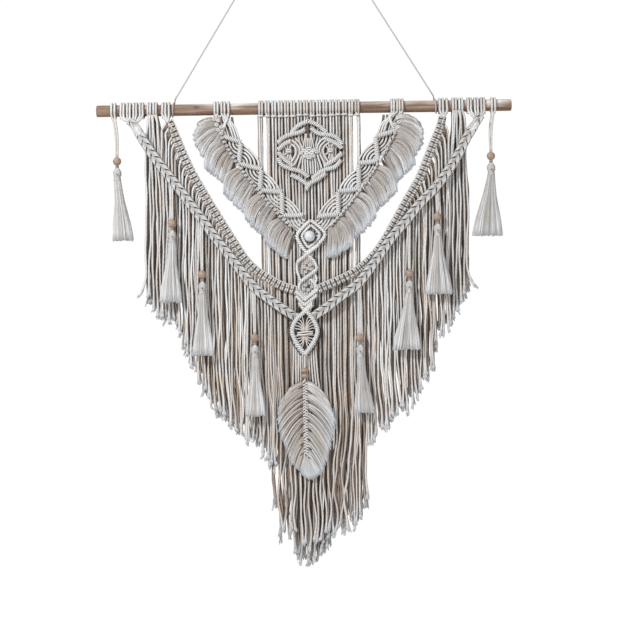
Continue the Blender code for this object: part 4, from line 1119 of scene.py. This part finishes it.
def lock(skein, run, half, tone, shade, fibres, splay=0.0012, pale=0.4, waist=0.6, root=0.62,
         cover=0.88):
    """A lock of unspun yarn: a soft flat body, and fine fibres along it that part at the end
    by splay. waist is how thick and root how light it is where it leaves its knot, pale how
    much of its end is brushed, and cover how far round the body the fibres lie."""
    path = drawn(run, 0.006)
    fade = np.linspace(0, 1, len(path))
    fat = half * np.interp(fade, [0, 0.15, 0.5, 0.9, 1], [waist, 0.92, 1.05, 1.02, 0.8])
    tip = ramp(fade, 1 - pale, pale)
    lit = shade * np.interp(fade, [0, 0.45, 1], [root, 0.92, 1.05])
    skein.cord(path, fat, tone=tone, shade=lit, tip=tip * 0.8, flat=0.6, dip=0.85)
    along, side, up = axes(path)
    fine = half * 0.22 * np.interp(fade, [0, 0.2, 0.85, 1], [0.6, 1, 0.9, 0.45])
    for k in range(fibres):
        spread = (k + chance.uniform(0.1, 0.9)) / fibres - 0.5
        angle = math.pi * (1.5 + cover * spread)
        off = fat * 0.94 + splay * fade ** 2 * chance.uniform(-0.2, 1.0)
        line = path + (side * math.cos(angle) + up * math.sin(angle) * 0.62) * off[:, None]
        line[-1] += along[-1] * 0.0015 * chance.uniform(-0.3, 1.0)
        skein.cord(line, fine, sides=3, tone=tone + chance.normal(0, 0.42),
                   shade=lit * chance.uniform(0.52, 1.22), tip=np.clip(tip * 1.1, 0, 1),
                   dip=0.3, roll=chance.uniform(0, 2))


# Each lobe: where its strip begins and ends, and the line that its locks are cut along.
TEETH = {
    "left": (
        ((-131, 13), (-118, 42),
         ((-143, 21), (-153, 29), (-158, 41), (-155, 58), (-143, 74), (-128, 84))),
        ((-119, 46), (-99, 72), ((-144, 83.5), (-136, 92), (-125, 101), (-114.6, 111.5))),
        ((-92, 84), (-70, 113), ((-115.5, 123), (-108, 132), (-99, 142), (-87, 152))),
        ((-62, 122), (-39, 150), ((-85.7, 160.5), (-77, 170), (-68, 178.5), (-57, 188.5))),
        ((-36, 158), (-18, 182), ((-58.5, 193), (-49, 202), (-40, 210), (-29, 218))),
    ),
    "right": (
        ((142, 13), (130, 42),
         ((156, 21), (166, 29), (171, 42), (168, 59), (157, 75), (142, 84))),
        ((130, 44), (112, 72), ((158, 83.5), (150, 94), (140, 104), (130, 113))),
        ((104, 84), (82, 113), ((131, 123), (123, 133), (113, 143), (101, 153))),
        ((75, 122), (52, 150), ((101, 160.5), (93, 170), (83, 179), (72, 189))),
        ((50, 156), (33, 176), ((67, 199), (56, 206), (45, 213), (31, 217))),
    ),
}


def bowed(root, end, way, much):
    """The way from a root to its end in the lobe, and the bow outward and up between them."""
    reach = end - root
    return reach, np.array([way * abs(reach[1]), -abs(reach[0])]) * much


for side, way in (("left", -1), ("right", 1)):
    combed = Skein()
    for t, (top, bottom, cut) in enumerate(TEETH[side]):
        top, bottom, cut = np.array(top, float), np.array(bottom, float), np.array(cut, float)
        place = np.linspace(0, 1, len(cut))
        uppermost = t == 0

        def cut_at(share):
            return np.array([np.interp(share, place, cut[:, 0]),
                             np.interp(share, place, cut[:, 1])])

        # Painted shade: deeper layers of locks are darker and browner, and locks a little darker
        # further along the strip.
        for layer, (level, count, size, dark) in enumerate(((-0.0165, 9, 0.00265, 1.0),
                                                            (-0.0143, 9, 0.00260, 0.72),
                                                            (-0.0118, 8, 0.0030, 0.42))):
            count = count + 5 * uppermost
            for k in range(count + (layer == 2)):
                share = (k + 0.5 + 0.5 * (layer == 1) + chance.normal(0, 0.12)) / count
                share = min(1.14 if layer == 2 else 0.985, max(0.015, share))
                # Locks leave the strip in four bunches, a knot each.
                gather = (math.floor(share * 4.0) + 0.5) / 4.0
                pulled = share * 0.45 + gather * 0.55
                root = top * (1 - pulled) + bottom * pulled + (0, 0.5 * layer)
                end = cut_at(share) + (cut[-1] - cut[-2]) * max(0.0, share - 1) * (len(cut) - 1)
                end = end + chance.normal(0, 1.0, 2) - np.array([0.0, 1.0 * layer])
                reach, high = bowed(root, end, way,
                                    (0.16 if uppermost else 0.20) * (1 - share) ** 1.5 + 0.04)
                bend = chance.normal(0, 1.6)
                y = level + (0.0012 if uppermost else 0.0026 * share - 0.0012)
                run = [spot(*root, -0.0150)]
                for part, bulge, deep in ((0.22, 0.75, -0.0014), (0.50, 1.0, -0.0004),
                                          (0.78, 0.62, 0.0)):
                    run.append(spot(*(root + reach * part + high * bulge + (bend * part, 0)),
                                    y + deep))
                run.append(spot(*end, y + 0.0004))
                lock(combed, run, size * chance.uniform(0.85, 1.12) * (1.12 if uppermost else 1.0),
                     chance.uniform(0.6, 1.1) if layer else chance.uniform(0.0, 0.6),
                     dark * chance.uniform(0.74, 1.06) * (1.0 - 0.10 * share),
                     fibres=(11, 5, 2)[layer], pale=0.32 if uppermost else 0.40)
        # Loose finer locks over the rest.
        for k in range(16):
            share = (k + chance.uniform(0.1, 0.9)) / 16
            stray = share + chance.normal(0, 0.05)
            root, end = top * (1 - share) + bottom * share, cut_at(stray)
            reach, high = bowed(root, end, way, 0.20 * (1 - share) ** 1.5 + 0.04)
            y = -0.0182 + 0.0026 * share
            run = [spot(*root, -0.0160)]
            for part, bulge in ((0.22, 0.75), (0.50, 1.0), (0.78, 0.62)):
                run.append(spot(*(root + reach * part + high * bulge + chance.normal(0, 0.7, 2)),
                                y))
            run.append(spot(*end, y + 0.0010))
            path = drawn(run, 0.006)
            fade = np.linspace(0, 1, len(path))
            combed.cord(path, chance.uniform(0.0005, 0.0010), sides=5, tone=chance.uniform(0, 1.0),
                        shade=chance.uniform(0.55, 1.15), tip=np.clip(fade * 3 - 2, 0, 1) * 0.8,
                        dip=0.7)
    combed.made(side + "_combed_fringe", fringe_cotton, side + "_garland_fringe")

# ---------------------------------------------------------------------------------------
# Middle column. Wound ridges cross in a diamond round the stone, a chain of crossings with
# knots in its openings, chevrons where the swags meet, and the lower diamond with its tie.
column = Skein()
STONE_X, STONE_DROP = 7.4, 186.0
LOWER_X, LOWER_DROP = -3.3, 325
DIAMOND_Y, LOWER_Y = -0.0152, -0.0205
DIAMOND = (((7, 163), (-3, 172), (-12.6, 184.4), (-8, 197), (0.3, 209)),
           ((8, 163), (19, 172), (27.7, 183.5), (18, 197), (1.7, 209)))


def drawn_in(points, across, down):
    """The points of the diamond's side, drawn in towards the stone."""
    return [(STONE_X + (x - STONE_X) * across, STONE_DROP + (d - STONE_DROP) * down)
            for x, d in points]


for points in DIAMOND:
    ridge(column, laid(points, DIAMOND_Y), half=0.0030, pitch=0.0036, tone=0.1)
    ridge(column, laid(drawn_in(points, 0.63, 0.70), DIAMOND_Y - 0.0008), half=0.0023,
          pitch=0.0027, tone=0.1)
    # A dark strand of painted shade between the two ridges.
    shadow(column, drawn_in(points, 0.80, 0.84), -0.0136, 0.0019, shade=0.06)

# The chain's ridges: points, half thickness, y.
CHAIN = (
    (((19, 198), (2, 211), (-13.2, 223)), 0.0028, -0.0166),
    (((-13.2, 224), (-13.0, 236), (-8.5, 249)), 0.0023, -0.0150),
    (((1.5, 212), (11, 221), (15.4, 232)), 0.0026, -0.0152),
    (((15.6, 233), (4, 242), (-8.6, 251)), 0.0029, -0.0172),
    (((-8.6, 251), (-11.0, 259), (-8, 268), (-2, 273)), 0.0026, -0.0152),
    (((5, 247), (12, 254), (12.4, 262), (4, 270)), 0.0026, -0.0154),
    (((10, 238), (14.5, 246), (12, 255)), 0.0021, -0.0146),
)
for points, half, y in CHAIN:
    ridge(column, laid(points, y), half=half, tone=0.10)
for x, d, size in ((0.5, 224, 0.0026), (5.5, 227, 0.0028), (-3.5, 230, 0.0030),
                   (2.0, 232, 0.0027), (7.0, 233, 0.0025), (-1.0, 237, 0.0024),
                   (-1.5, 256, 0.0026), (2.5, 263, 0.0026), (-4.0, 262, 0.0024),
                   (7.5, 259, 0.0023)):
    knot(column, x, d, -0.0160, size=size, tone=chance.uniform(0.1, 0.5),
         lean=chance.uniform(-0.7, 0.7), shade=0.92)
# Painted shade in the openings between the chain's ridges.
for x, d, high in ((-5.0, 214.5, 2.6), (-8.0, 243.5, 3.2), (3.6, 257.8, 2.4),
                   (11.0, 216.0, 2.0), (10.6, 289.0, 6.0), (-12.5, 291.0, 3.2)):
    shadow(column, [(x, d - high), (x, d), (x + 0.4, d + high)], -0.0148, 0.0023, shade=0.04)
# Chevrons, each of two ridges that meet in its middle, with their y.
CHEVRONS = ((((-15.5, 264), (-2.5, 277), (17, 262)), -0.0172),
            (((-15, 271.5), (-2.6, 284.7), (15, 270.5)), -0.0178),
            (((-11, 281), (-3.5, 292), (8.5, 281)), -0.0190))
for points, y in CHEVRONS:
    (ax, ad), (bx, bd), (cx, cd) = points
    ridge(column, laid(((ax, ad), (bx - 0.4, bd)), y), half=0.0029, pitch=0.0034)
    ridge(column, laid(((cx, cd), (bx, bd)), y - 0.0005), half=0.0029, pitch=0.0034)
# The lower diamond's two sides, a dark line of painted shadow beside each, threads that run
# in to the tie, and painted shade in its opening.
LOWER = (((8.5, 284), (-3.0, 294), (-16.5, 307), (-21.9, 322), (-16, 338), (-4.4, 355)),
         ((-2.2, 291), (9, 306), (14.8, 322), (9, 338), (-3.4, 355)))
for points in LOWER:
    ridge(column, laid(points, LOWER_Y), half=0.0035, tone=0.05)
for k, points in enumerate(LOWER):
    shadow(column, [(x + (4.6 if k else -4.6), d + 2.0) for x, d in points[1:]], -0.0160,
           0.0017, shade=0.10)
for points in LOWER:
    edge = drawn([(x, d, 0) for x, d in points], 1.0)
    for k in range(5):
        for begin, goal in ((299.5 + 4.6 * k, 322.5), (347.0 - 4.6 * k, 328.0)):
            place = edge[np.argmin(abs(edge[:, 1] - begin))]
            inward = LOWER_X - place[0]
            string(column, [(place[0] + inward * 0.10, place[1], -0.0192),
                            (place[0] + inward * 0.60, place[1] * 0.70 + goal * 0.30, -0.0204),
                            (LOWER_X - inward * (0.05 + 0.03 * k), goal, -0.0206)],
                   half=0.00105, tone=chance.uniform(0.2, 0.6), shade=1.0, dip=0.8)
for k in range(7):
    x = -15.3 + 4.0 * k
    wide_at = 29 - abs(x + 3.5) * 1.9
    shadow(column, [(x, LOWER_DROP - wide_at * 0.9), (x, LOWER_DROP + wide_at)], -0.0168, 0.0023)
# The long strands that leave the diamond's lower sides for the tail.
for k in range(10):
    x = (-19.5 + 3.1 * k) if k < 5 else (-2.6 + 3.1 * (k - 4.6))
    edge = 353.0 - abs(x + 3.6) * 1.45
    low = -26.0 + 6.0 * k + chance.normal(0, 0.8)
    tip = 628 - abs(low) * 0.55 + chance.uniform(-12, 8)
    drops = np.append([edge, edge + 6], down_to(tip, edge + 20, 13))
    share = ramp(drops, edge, 150)
    waves = wander(low * 0.2, drops) * 0.9
    waves = waves + 1.6 * np.sin(drops / 14.0 + k * 0.5) * ramp(drops, 500, 60)
    across = x + (low - x) * share ** 1.5 + waves * share
    hang(column, placed(across, drops, -0.0186 + 0.0036 * ramp(drops, edge, 12.0)), 0.00150, 8,
         chance.uniform(0.0, 0.3), 1.0)
# The tie's two turns, then the strands that pass behind the whole column, darkened with painted
# shade behind the diamond.
for d, bow in ((324.0, -0.7), (326.6, 0.5)):
    string(column, [(-14, d + 0.8, -0.0212), (-3.2, d + bow, -0.0236), (8.0, d - 0.8, -0.0212)],
           half=0.0014, tone=0.1, shade=1.0)
for k in range(6):
    x = -9 + 4.2 * k
    string(column, [(x * 0.8, 164 + abs(x - 2) * 0.6, -0.0135), (x * 0.9 + 1, 190, -0.0128),
                    (x * 0.6 + 1, 208, -0.0135)], half=0.0015, tone=0.7, shade=0.45)
    string(column, [(x * 0.6 + 1, 210, -0.0138), (x * 0.8 + 1, 240, -0.0134),
                    (x * 0.7 + 1, 276, -0.0140), (x * 0.4 - 1, 296, -0.0165)], half=0.0017,
           tone=0.3, shade=0.88)
column.made("middle_column", strand_cotton, "centre_column")

# ---------------------------------------------------------------------------------------
# Stone bead. A round white stone, drilled and threaded on a strand in the diamond.
bpy.ops.object.select_all(action="DESELECT")
bpy.ops.mesh.primitive_uv_sphere_add(segments=32, ring_count=20, radius=0.0078,
                                     location=(0.0055, -0.01905, ROD_LEVEL - 0.1858))
stone = bpy.context.object
stone.name = "white_stone_bead"
bpy.ops.object.transform_apply(location=True, rotation=True, scale=True)
bpy.ops.object.shade_smooth()
stone_paint, start = paint("mottled_white_stone")
place = start.node("TexCoord", {}, {}, OBJECT_COORDS)
cloud = start.node("TexNoise", {}, {"Vector": place, "Scale": 210.0, "Detail": 5.0,
                                    "Distortion": 1.2})
vein = start.node("TexNoise", {}, {"Vector": place, "Scale": 95.0, "Detail": 6.0,
                                   "Distortion": 2.5})
line = (1.0 - start.sum("ABSOLUTE", (vein - 0.5) * 14.0)).clamped()
tint = ((cloud - 0.35) * 2.6).clamped().blend((0.56, 0.57, 0.59, 1), (0.83, 0.83, 0.825, 1))
tint = (line * 0.35).blend(tint, (0.45, 0.44, 0.43, 1))
surface(start, {"Base Color": tint, "Roughness": 0.30 + cloud * 0.25,
                "Normal": start.node("Bump", {}, {"Height": cloud, "Strength": 0.15,
                                                  "Distance": 0.0003})})
stone.data.materials.append(stone_paint)
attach(stone, "root")
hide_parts("stone_bead")

# ---------------------------------------------------------------------------------------
# Feather. A cord with folded cords knotted across it, combed out and trimmed to a feather.
# It hangs on its own cord below two flat wooden beads.
SPINE_X = -4.2
BARBS_FROM, BARBS_OVER = 394.5, 105.5
# The outline of each side: the drop of a barb's root, then the X and drop of its end.
BARBS = {
    -1: ((394.5, -22, 404), (396, -33, 414), (398, -40, 425), (402, -44, 436),
         (412, -45, 448), (424, -42.5, 461), (436, -39, 474), (448, -35, 487),
         (460, -30, 500), (472, -25.5, 510), (485, -20, 518), (500, -13, 524)),
    1: ((394.5, 15, 406), (396, 26, 418), (398, 33, 431), (402, 36.5, 443),
        (412, 38, 455), (424, 36, 468), (436, 33, 481), (448, 29.5, 493),
        (460, 26.5, 504), (472, 24, 513), (485, 20.5, 521), (500, 16, 529)),
}
feather = Skein()
feather.cord(drawn(laid(((-4.0, 352), (SPINE_X, 368), (SPINE_X, 392), (SPINE_X, 400)), -0.0200),
                   0.006), 0.0014, sides=8, tone=0.3, shade=0.9)
for k in range(27):
    d = 395.5 + 3.9 * k
    for s in (-1, 1):
        x = SPINE_X + s * (1.75 - 0.012 * k) + chance.normal(0, 0.2)
        low = d + (1.9 if s > 0 else 0.0) + chance.normal(0, 0.3)
        run = [spot(x + s * out, low + down, y) for out, down, y in (
            (-1.9, -1.1, -0.0212), (-0.9, -0.6, -0.0232), (0.6, 0.0, -0.0232),
            (1.3, 0.7, -0.0222), (0.9, 1.5, -0.0208))]
        feather.cord(drawn(run, 0.0016), 0.00128, tone=0.15, shade=1.0, dip=0.8)
# A dark cord of painted shade behind the spine's knots.
feather.cord(placed(SPINE_X, range(394, 503, 6), -0.0206), 0.0026, tone=1.0, shade=0.05)
# The drops at which the barbs of each side part into locks.
PARTINGS = {-1: (392, 401, 415, 428, 441, 455, 468, 483, 497, 512),
            1: (392, 408, 422, 436, 449, 462, 476, 489, 503, 514)}
# Painted shade in the partings, where the locks leave the spine.
for s, partings in PARTINGS.items():
    for k, d in enumerate(partings[1:-1]):
        length = 6.0 if s < 0 or k % 2 == 0 else 3.6
        shadow(feather, [(SPINE_X + s * 2.2, d - 0.3),
                         (SPINE_X + s * (2.2 + length * 0.5), d + 1.0),
                         (SPINE_X + s * (2.2 + length), d + length * 0.62)],
               -0.0226, 0.0010, shade=0.02)
for s, rows in BARBS.items():
    rows = np.array(rows, float)
    # Painted light and shade: deeper layers of locks are darker, and every other lock is lit
    # brighter than the rest.
    for layer, (y, count, size, dark) in enumerate(((-0.0210, 38, 0.00150, 1.0),
                                                    (-0.0192, 26, 0.0022, 0.55),
                                                    (-0.0176, 16, 0.0026, 0.30))):
        for k in range(count):
            share = max(0.0, (k + 0.5 + chance.normal(0, 0.10)) / count)
            d0 = BARBS_FROM + BARBS_OVER * share ** (1.0 + 0.8 * (1 - share))
            above = [d for d in PARTINGS[s] if d <= d0][-1]
            below = [d for d in PARTINGS[s] if d > d0][0]
            d_root = d0 + ((above + below) / 2 - d0) * (0.45 if layer == 0 else 0.1)
            ex = np.interp(d0, rows[:, 0], rows[:, 1]) + chance.normal(0, 0.9)
            ed = np.interp(d0, rows[:, 0], rows[:, 2]) + chance.normal(0, 1.1)
            ex = SPINE_X + (ex - SPINE_X) * (1 - 0.03 * layer)
            reach, drop = ex - SPINE_X, ed - d0
            curl = chance.normal(0, 0.9)
            bow = max(0.0, 1 - share * 6)
            freed = d0 * 0.70 + d_root * 0.30
            run = [spot(SPINE_X + s * 1.2, d_root, -0.0214),
                   spot(SPINE_X + reach * 0.30, freed + drop * (0.15 - 0.08 * bow), y - 0.0012),
                   spot(SPINE_X + reach * 0.61, d0 + drop * (0.44 - 0.10 * bow) + curl * 0.6,
                        y - 0.0004),
                   spot(SPINE_X + reach * 0.86, d0 + drop * (0.77 - 0.05 * bow) + curl, y),
                   spot(ex, ed, y + 0.0008)]
            lit = dark * (chance.uniform(1.10, 1.50) if k % 2 else chance.uniform(0.62, 1.08))
            lock(feather, run, size * chance.uniform(0.80, 1.08) * (1.0 - 0.22 * share),
                 chance.uniform(0.0, 0.35) + (0.50 if s < 0 else 0.0), lit,
                 root=0.68 if s < 0 else 0.96, fibres=(6, 3, 0)[layer],
                 pale=0.26 if s < 0 else 0.34, splay=0.0004, cover=0.55)
# The feather's lower tip, combed out from the end of its spine.
for k in range(17):
    share = (k + 0.5) / 17
    ex = -12.0 + 30.0 * share
    run = [spot(SPINE_X + (share - 0.5) * 3.0, 495, -0.0212),
           spot(SPINE_X * 0.55 + ex * 0.45, 512, -0.0222 + 0.0008 * (k % 2)),
           spot(ex, 535 - abs(ex - 2.0) ** 1.5 * 0.16, -0.0210)]
    lock(feather, run, 0.0016, chance.uniform(0, 0.25), 1.0, fibres=8, pale=0.7, waist=0.5,
         root=0.95)
feather.made("combed_feather", fringe_cotton, "feather")

# ---------------------------------------------------------------------------------------
# Wooden beads. Turned from light wood, drilled and left unvarnished: a round one above each
# tassel, and two flat ones above the feather.
# Each tassel: its X, the drops of its bead and of its cut end, its skirt's two sides, and the
# X and drop at which an inner one's cord leaves the plait.
TASSELS = {
    "outer_left": (-270.4, 73.5, 187, -278, -249, None, None),
    "outer_right": (268.6, 74, 188, 241, 283, None, None),
    "left_1": (-191.6, 165, 277, -210, -180, -191.6, 115.5),
    "left_2": (-149.6, 239, 354, -164, -135, -149.6, 173.5),
    "left_3": (-75.4, 331, 442, -89, -62.5, -75.4, 270.0),
    "right_1": (189.4, 161, 271, 172, 208, 189.4, 129.8),
    "right_2": (147.8, 242, 350, 123, 162, 147.8, 175.2),
    "right_3": (75.6, 333, 439.5, 67, 93, 75.6, 265.4),
}
TASSEL_Y, OUTER_TASSEL_Y = -0.0236, -0.0092
BEAD_RADIUS, FLAT_BEAD_RADIUS = 0.0061, 0.0058
bead_wood, start = paint("bare_bead_wood")
place = start.node("TexCoord", {}, {}, OBJECT_COORDS)
run = start.node("Mapping", {}, {0: place, "Scale": (190.0, 190.0, 900.0)})
ring = start.node("TexNoise", {}, {"Vector": run, "Scale": 1.0, "Detail": 5.0,
                                   "Distortion": 0.8})
fine = start.node("TexNoise", {}, {"Vector": place, "Scale": 1400.0, "Detail": 2.0})
wood = ((ring - 0.32) * 2.6).clamped().blend((0.27, 0.175, 0.12, 1), (0.45, 0.345, 0.27, 1))
wood = ((fine - 0.55) * 2.0).clamped().blend(wood, (0.28, 0.17, 0.11, 1))
surface(start, {"Base Color": wood, "Roughness": 0.5 + ring * 0.25,
                "Normal": start.node("Bump", {}, {"Height": ring + fine * 0.3,
                                                  "Strength": 0.25, "Distance": 0.0003})})


def turned_bead(name, centre, radius, hole, squat, node):
    """A ball with its poles cut away and a bore joined through it."""
    bpy.ops.object.select_all(action="DESELECT")
    bpy.ops.mesh.primitive_uv_sphere_add(segments=24, ring_count=18, radius=radius)
    bead = bpy.context.object
    bead.name = name
    bpy.ops.object.mode_set(mode="EDIT")
    select(bead, "VERT", lambda v: math.hypot(v.co.x, v.co.y) < hole * 0.92)
    bpy.ops.mesh.delete(type="VERT")
    select(bead, "EDGE", lambda edge: edge.is_boundary)
    bpy.ops.mesh.bridge_edge_loops(number_cuts=2)
    bpy.ops.mesh.select_all(action="SELECT")
    bpy.ops.mesh.normals_make_consistent(inside=False)
    bpy.ops.object.mode_set(mode="OBJECT")
    bead.scale = (1.0, 1.0, squat)
    bead.location = centre
    bpy.ops.object.transform_apply(location=True, rotation=True, scale=True)
    bpy.ops.object.shade_smooth_by_angle(angle=math.radians(48))
    bead.data.materials.append(bead_wood)
    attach(bead, "root")
    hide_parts(node)


for name, (x, d, end, skirt_left, skirt_right, top_x, top_d) in TASSELS.items():
    depth = OUTER_TASSEL_Y if top_x is None else TASSEL_Y
    turned_bead(name + "_wooden_bead", spot(x, d, depth), BEAD_RADIUS, 0.0021, 1.0,
                name + "_bead")
for k, d in enumerate((378.6, 386.6)):
    turned_bead("flat_bead_%d" % (k + 1), spot(SPINE_X - 0.3, d, -0.0200), FLAT_BEAD_RADIUS,
                0.0019, 0.62, "feather_bead_%d" % (k + 1))

# ---------------------------------------------------------------------------------------
# Tassels. Fine thread folded over the cord's end into a drop-shaped head, bound at its neck
# and cut straight. The two outer ones hang from the rod, the others from the plaits.
tassel_cotton = cotton("tassel_thread", (0.94, 0.945, 0.955), (0.66, 0.61, 0.565),
                       (0.20, 0.155, 0.125), (0.80, 0.81, 0.83), plies=1, lay=0.05,
                       relief=0.25, streaks=0.9, lines=5.0, length=50.0)
HEAD_BELOW_BEAD, HEAD_HIGH = 10.0, 16.0
# The head's outline: how far below its top, in mm, and its radius there, in metres.
HEAD = ((0.0, 0.0016), (1.2, 0.0030), (3.4, 0.0047), (6.2, 0.0058), (9.0, 0.0057),
        (11.4, 0.0046), (13.2, 0.0042), (15.2, 0.0047), (17.5, 0.0055))
for name, (x, d, end, skirt_left, skirt_right, top_x, top_d) in TASSELS.items():
    depth = OUTER_TASSEL_Y if top_x is None else TASSEL_Y
    line = Skein()
    for s in (-1, 1):
        if top_x is None:
            pass_x = x + math.copysign(4.8, x) + s * 2.3
            line.cord(turn(pass_x), 0.0018, sides=8, tone=0.2, shade=0.95, ref=(1, 0, 0),
                      beside=(1, 0, 0))
            line.cord(drawn([spot(pass_x, 0, -TURN_RADIUS), spot(pass_x, 7, -0.0108),
                             spot(x + math.copysign(2.4, x) + s * 1.7, 17, -0.0102),
                             spot(x + s * 1.5, 40, depth), spot(x + s * 0.9, d - 6, depth)],
                            0.006), 0.0013, sides=8, tone=0.3, shade=0.95)
        else:
            way_down = [spot(top_x + s * 1.3, top_d + below, y) for below, y in (
                (-10, -0.0168), (-3, -0.0196), (7, TASSEL_Y))]
            way_down += [spot(x + s * 1.1, (top_d + d) / 2, TASSEL_Y),
                         spot(x + s * 0.9, d - 5.5, TASSEL_Y)]
            line.cord(drawn(way_down, 0.006), 0.0013, sides=8, tone=0.25, shade=0.95)
    line.cord(drawn([spot(x, d - 8, depth), spot(x, d + 13, depth)], 0.006), 0.0015, sides=8,
              tone=0.4, shade=0.7)
    line.made(name + "_tassel_cord", strand_cotton, name + "_cord")

    brush = Skein()
    # The small knot under the bead is darkened as painted shade.
    knot(brush, x, d + 7.6, depth, size=0.0021, tone=0.9, shade=0.35)
    head_top = d + HEAD_BELOW_BEAD
    skirt_top = head_top + HEAD_HIGH
    # The head: threads that lean a little, three turns round its neck and one round it.
    for begin in 2 * math.pi * np.arange(24) / 24:
        run = []
        for deep, r in HEAD:
            angle = begin + 0.07 * deep
            run.append([x * MM + math.cos(angle) * r * 0.90, depth - math.sin(angle) * r * 0.83,
                        ROD_LEVEL - (head_top + deep) * MM])
        # Painted shade darkens the head's threads towards its sides.
        facing = abs(math.cos(begin + 0.4))
        brush.cord(drawn(run, 0.0028), 0.00082, sides=5, tone=chance.uniform(0.0, 0.5),
                   shade=chance.uniform(0.66, 1.0) * (1.0 - 0.30 * facing ** 4), dip=0.85)
    round_it = np.linspace(0, 2 * math.pi, 17)
    for level, tilt, girth in ((11.4, 0.9, 0.0049), (12.5, -0.8, 0.0047), (13.7, 0.6, 0.0047),
                               (7.4, 2.6, 0.0060)):
        run = placed(x + np.cos(round_it) * girth / MM, head_top + level + tilt * np.cos(round_it),
                     depth - np.sin(round_it) * girth * 0.93)
        brush.cord(run, 0.00068, sides=5, tone=0.2, shade=0.86, beside=(0, 0, 1), ref=(0, 0, 1),
                   dip=0.9)
    # A dark speck of painted shade on the head's front.
    shadow(brush, [(x - 0.6, head_top + 8.9), (x + 0.5, head_top + 10.3)], depth - 0.0055,
           0.0009, shade=0.02)
    middle = (skirt_left + skirt_right) / 2
    half_wide = (skirt_right - skirt_left) / 2
    # Painted shade: the inner layer is darker, and all threads a little darker near the head.
    for layer, (count, push, dark) in enumerate(((118, 1.0, 1.0), (44, 0.66, 0.60))):
        for k in range(count):
            angle = 2 * math.pi * (k + chance.uniform(0, 0.8)) / count
            ca, sa = math.cos(angle), math.sin(angle)
            lower = end + chance.normal(0, 0.9)
            ex = middle + ca * half_wide * push + chance.normal(0, 0.4)
            span = lower - skirt_top
            run = [spot(x + ca * 4.6 * push, skirt_top, depth - sa * 0.0043 * push),
                   spot(x + (ex - x) * 0.44, skirt_top + span * 0.36, depth - sa * 0.0060 * push),
                   spot(x + (ex - x) * 0.80 + chance.normal(0, 0.3), skirt_top + span * 0.72,
                        depth - sa * 0.0062 * push),
                   spot(ex, lower, depth - sa * 0.0062 * push)]
            path = drawn(run, 0.017)
            fade = np.linspace(0, 1, len(path))
            wave = math.sin(k * 0.75 + 3 * math.sin(k * 0.31))
            clump = (0.90 + 0.27 * wave) * chance.uniform(0.68, 1.20)
            brush.cord(path, 0.00105 * np.interp(fade, [0, 0.5, 1], [0.6, 1.0, 0.95]), sides=3,
                       tone=0.30 - 0.34 * wave + chance.uniform(-0.2, 0.3),
                       shade=dark * clump * (0.85 + 0.15 * fade),
                       tip=np.clip(fade * 3 - 2.3, 0, 1) * 0.6, dip=0.4,
                       roll=chance.uniform(0, 2))
    brush.made(name + "_tassel_brush", tassel_cotton, name + "_tassel")
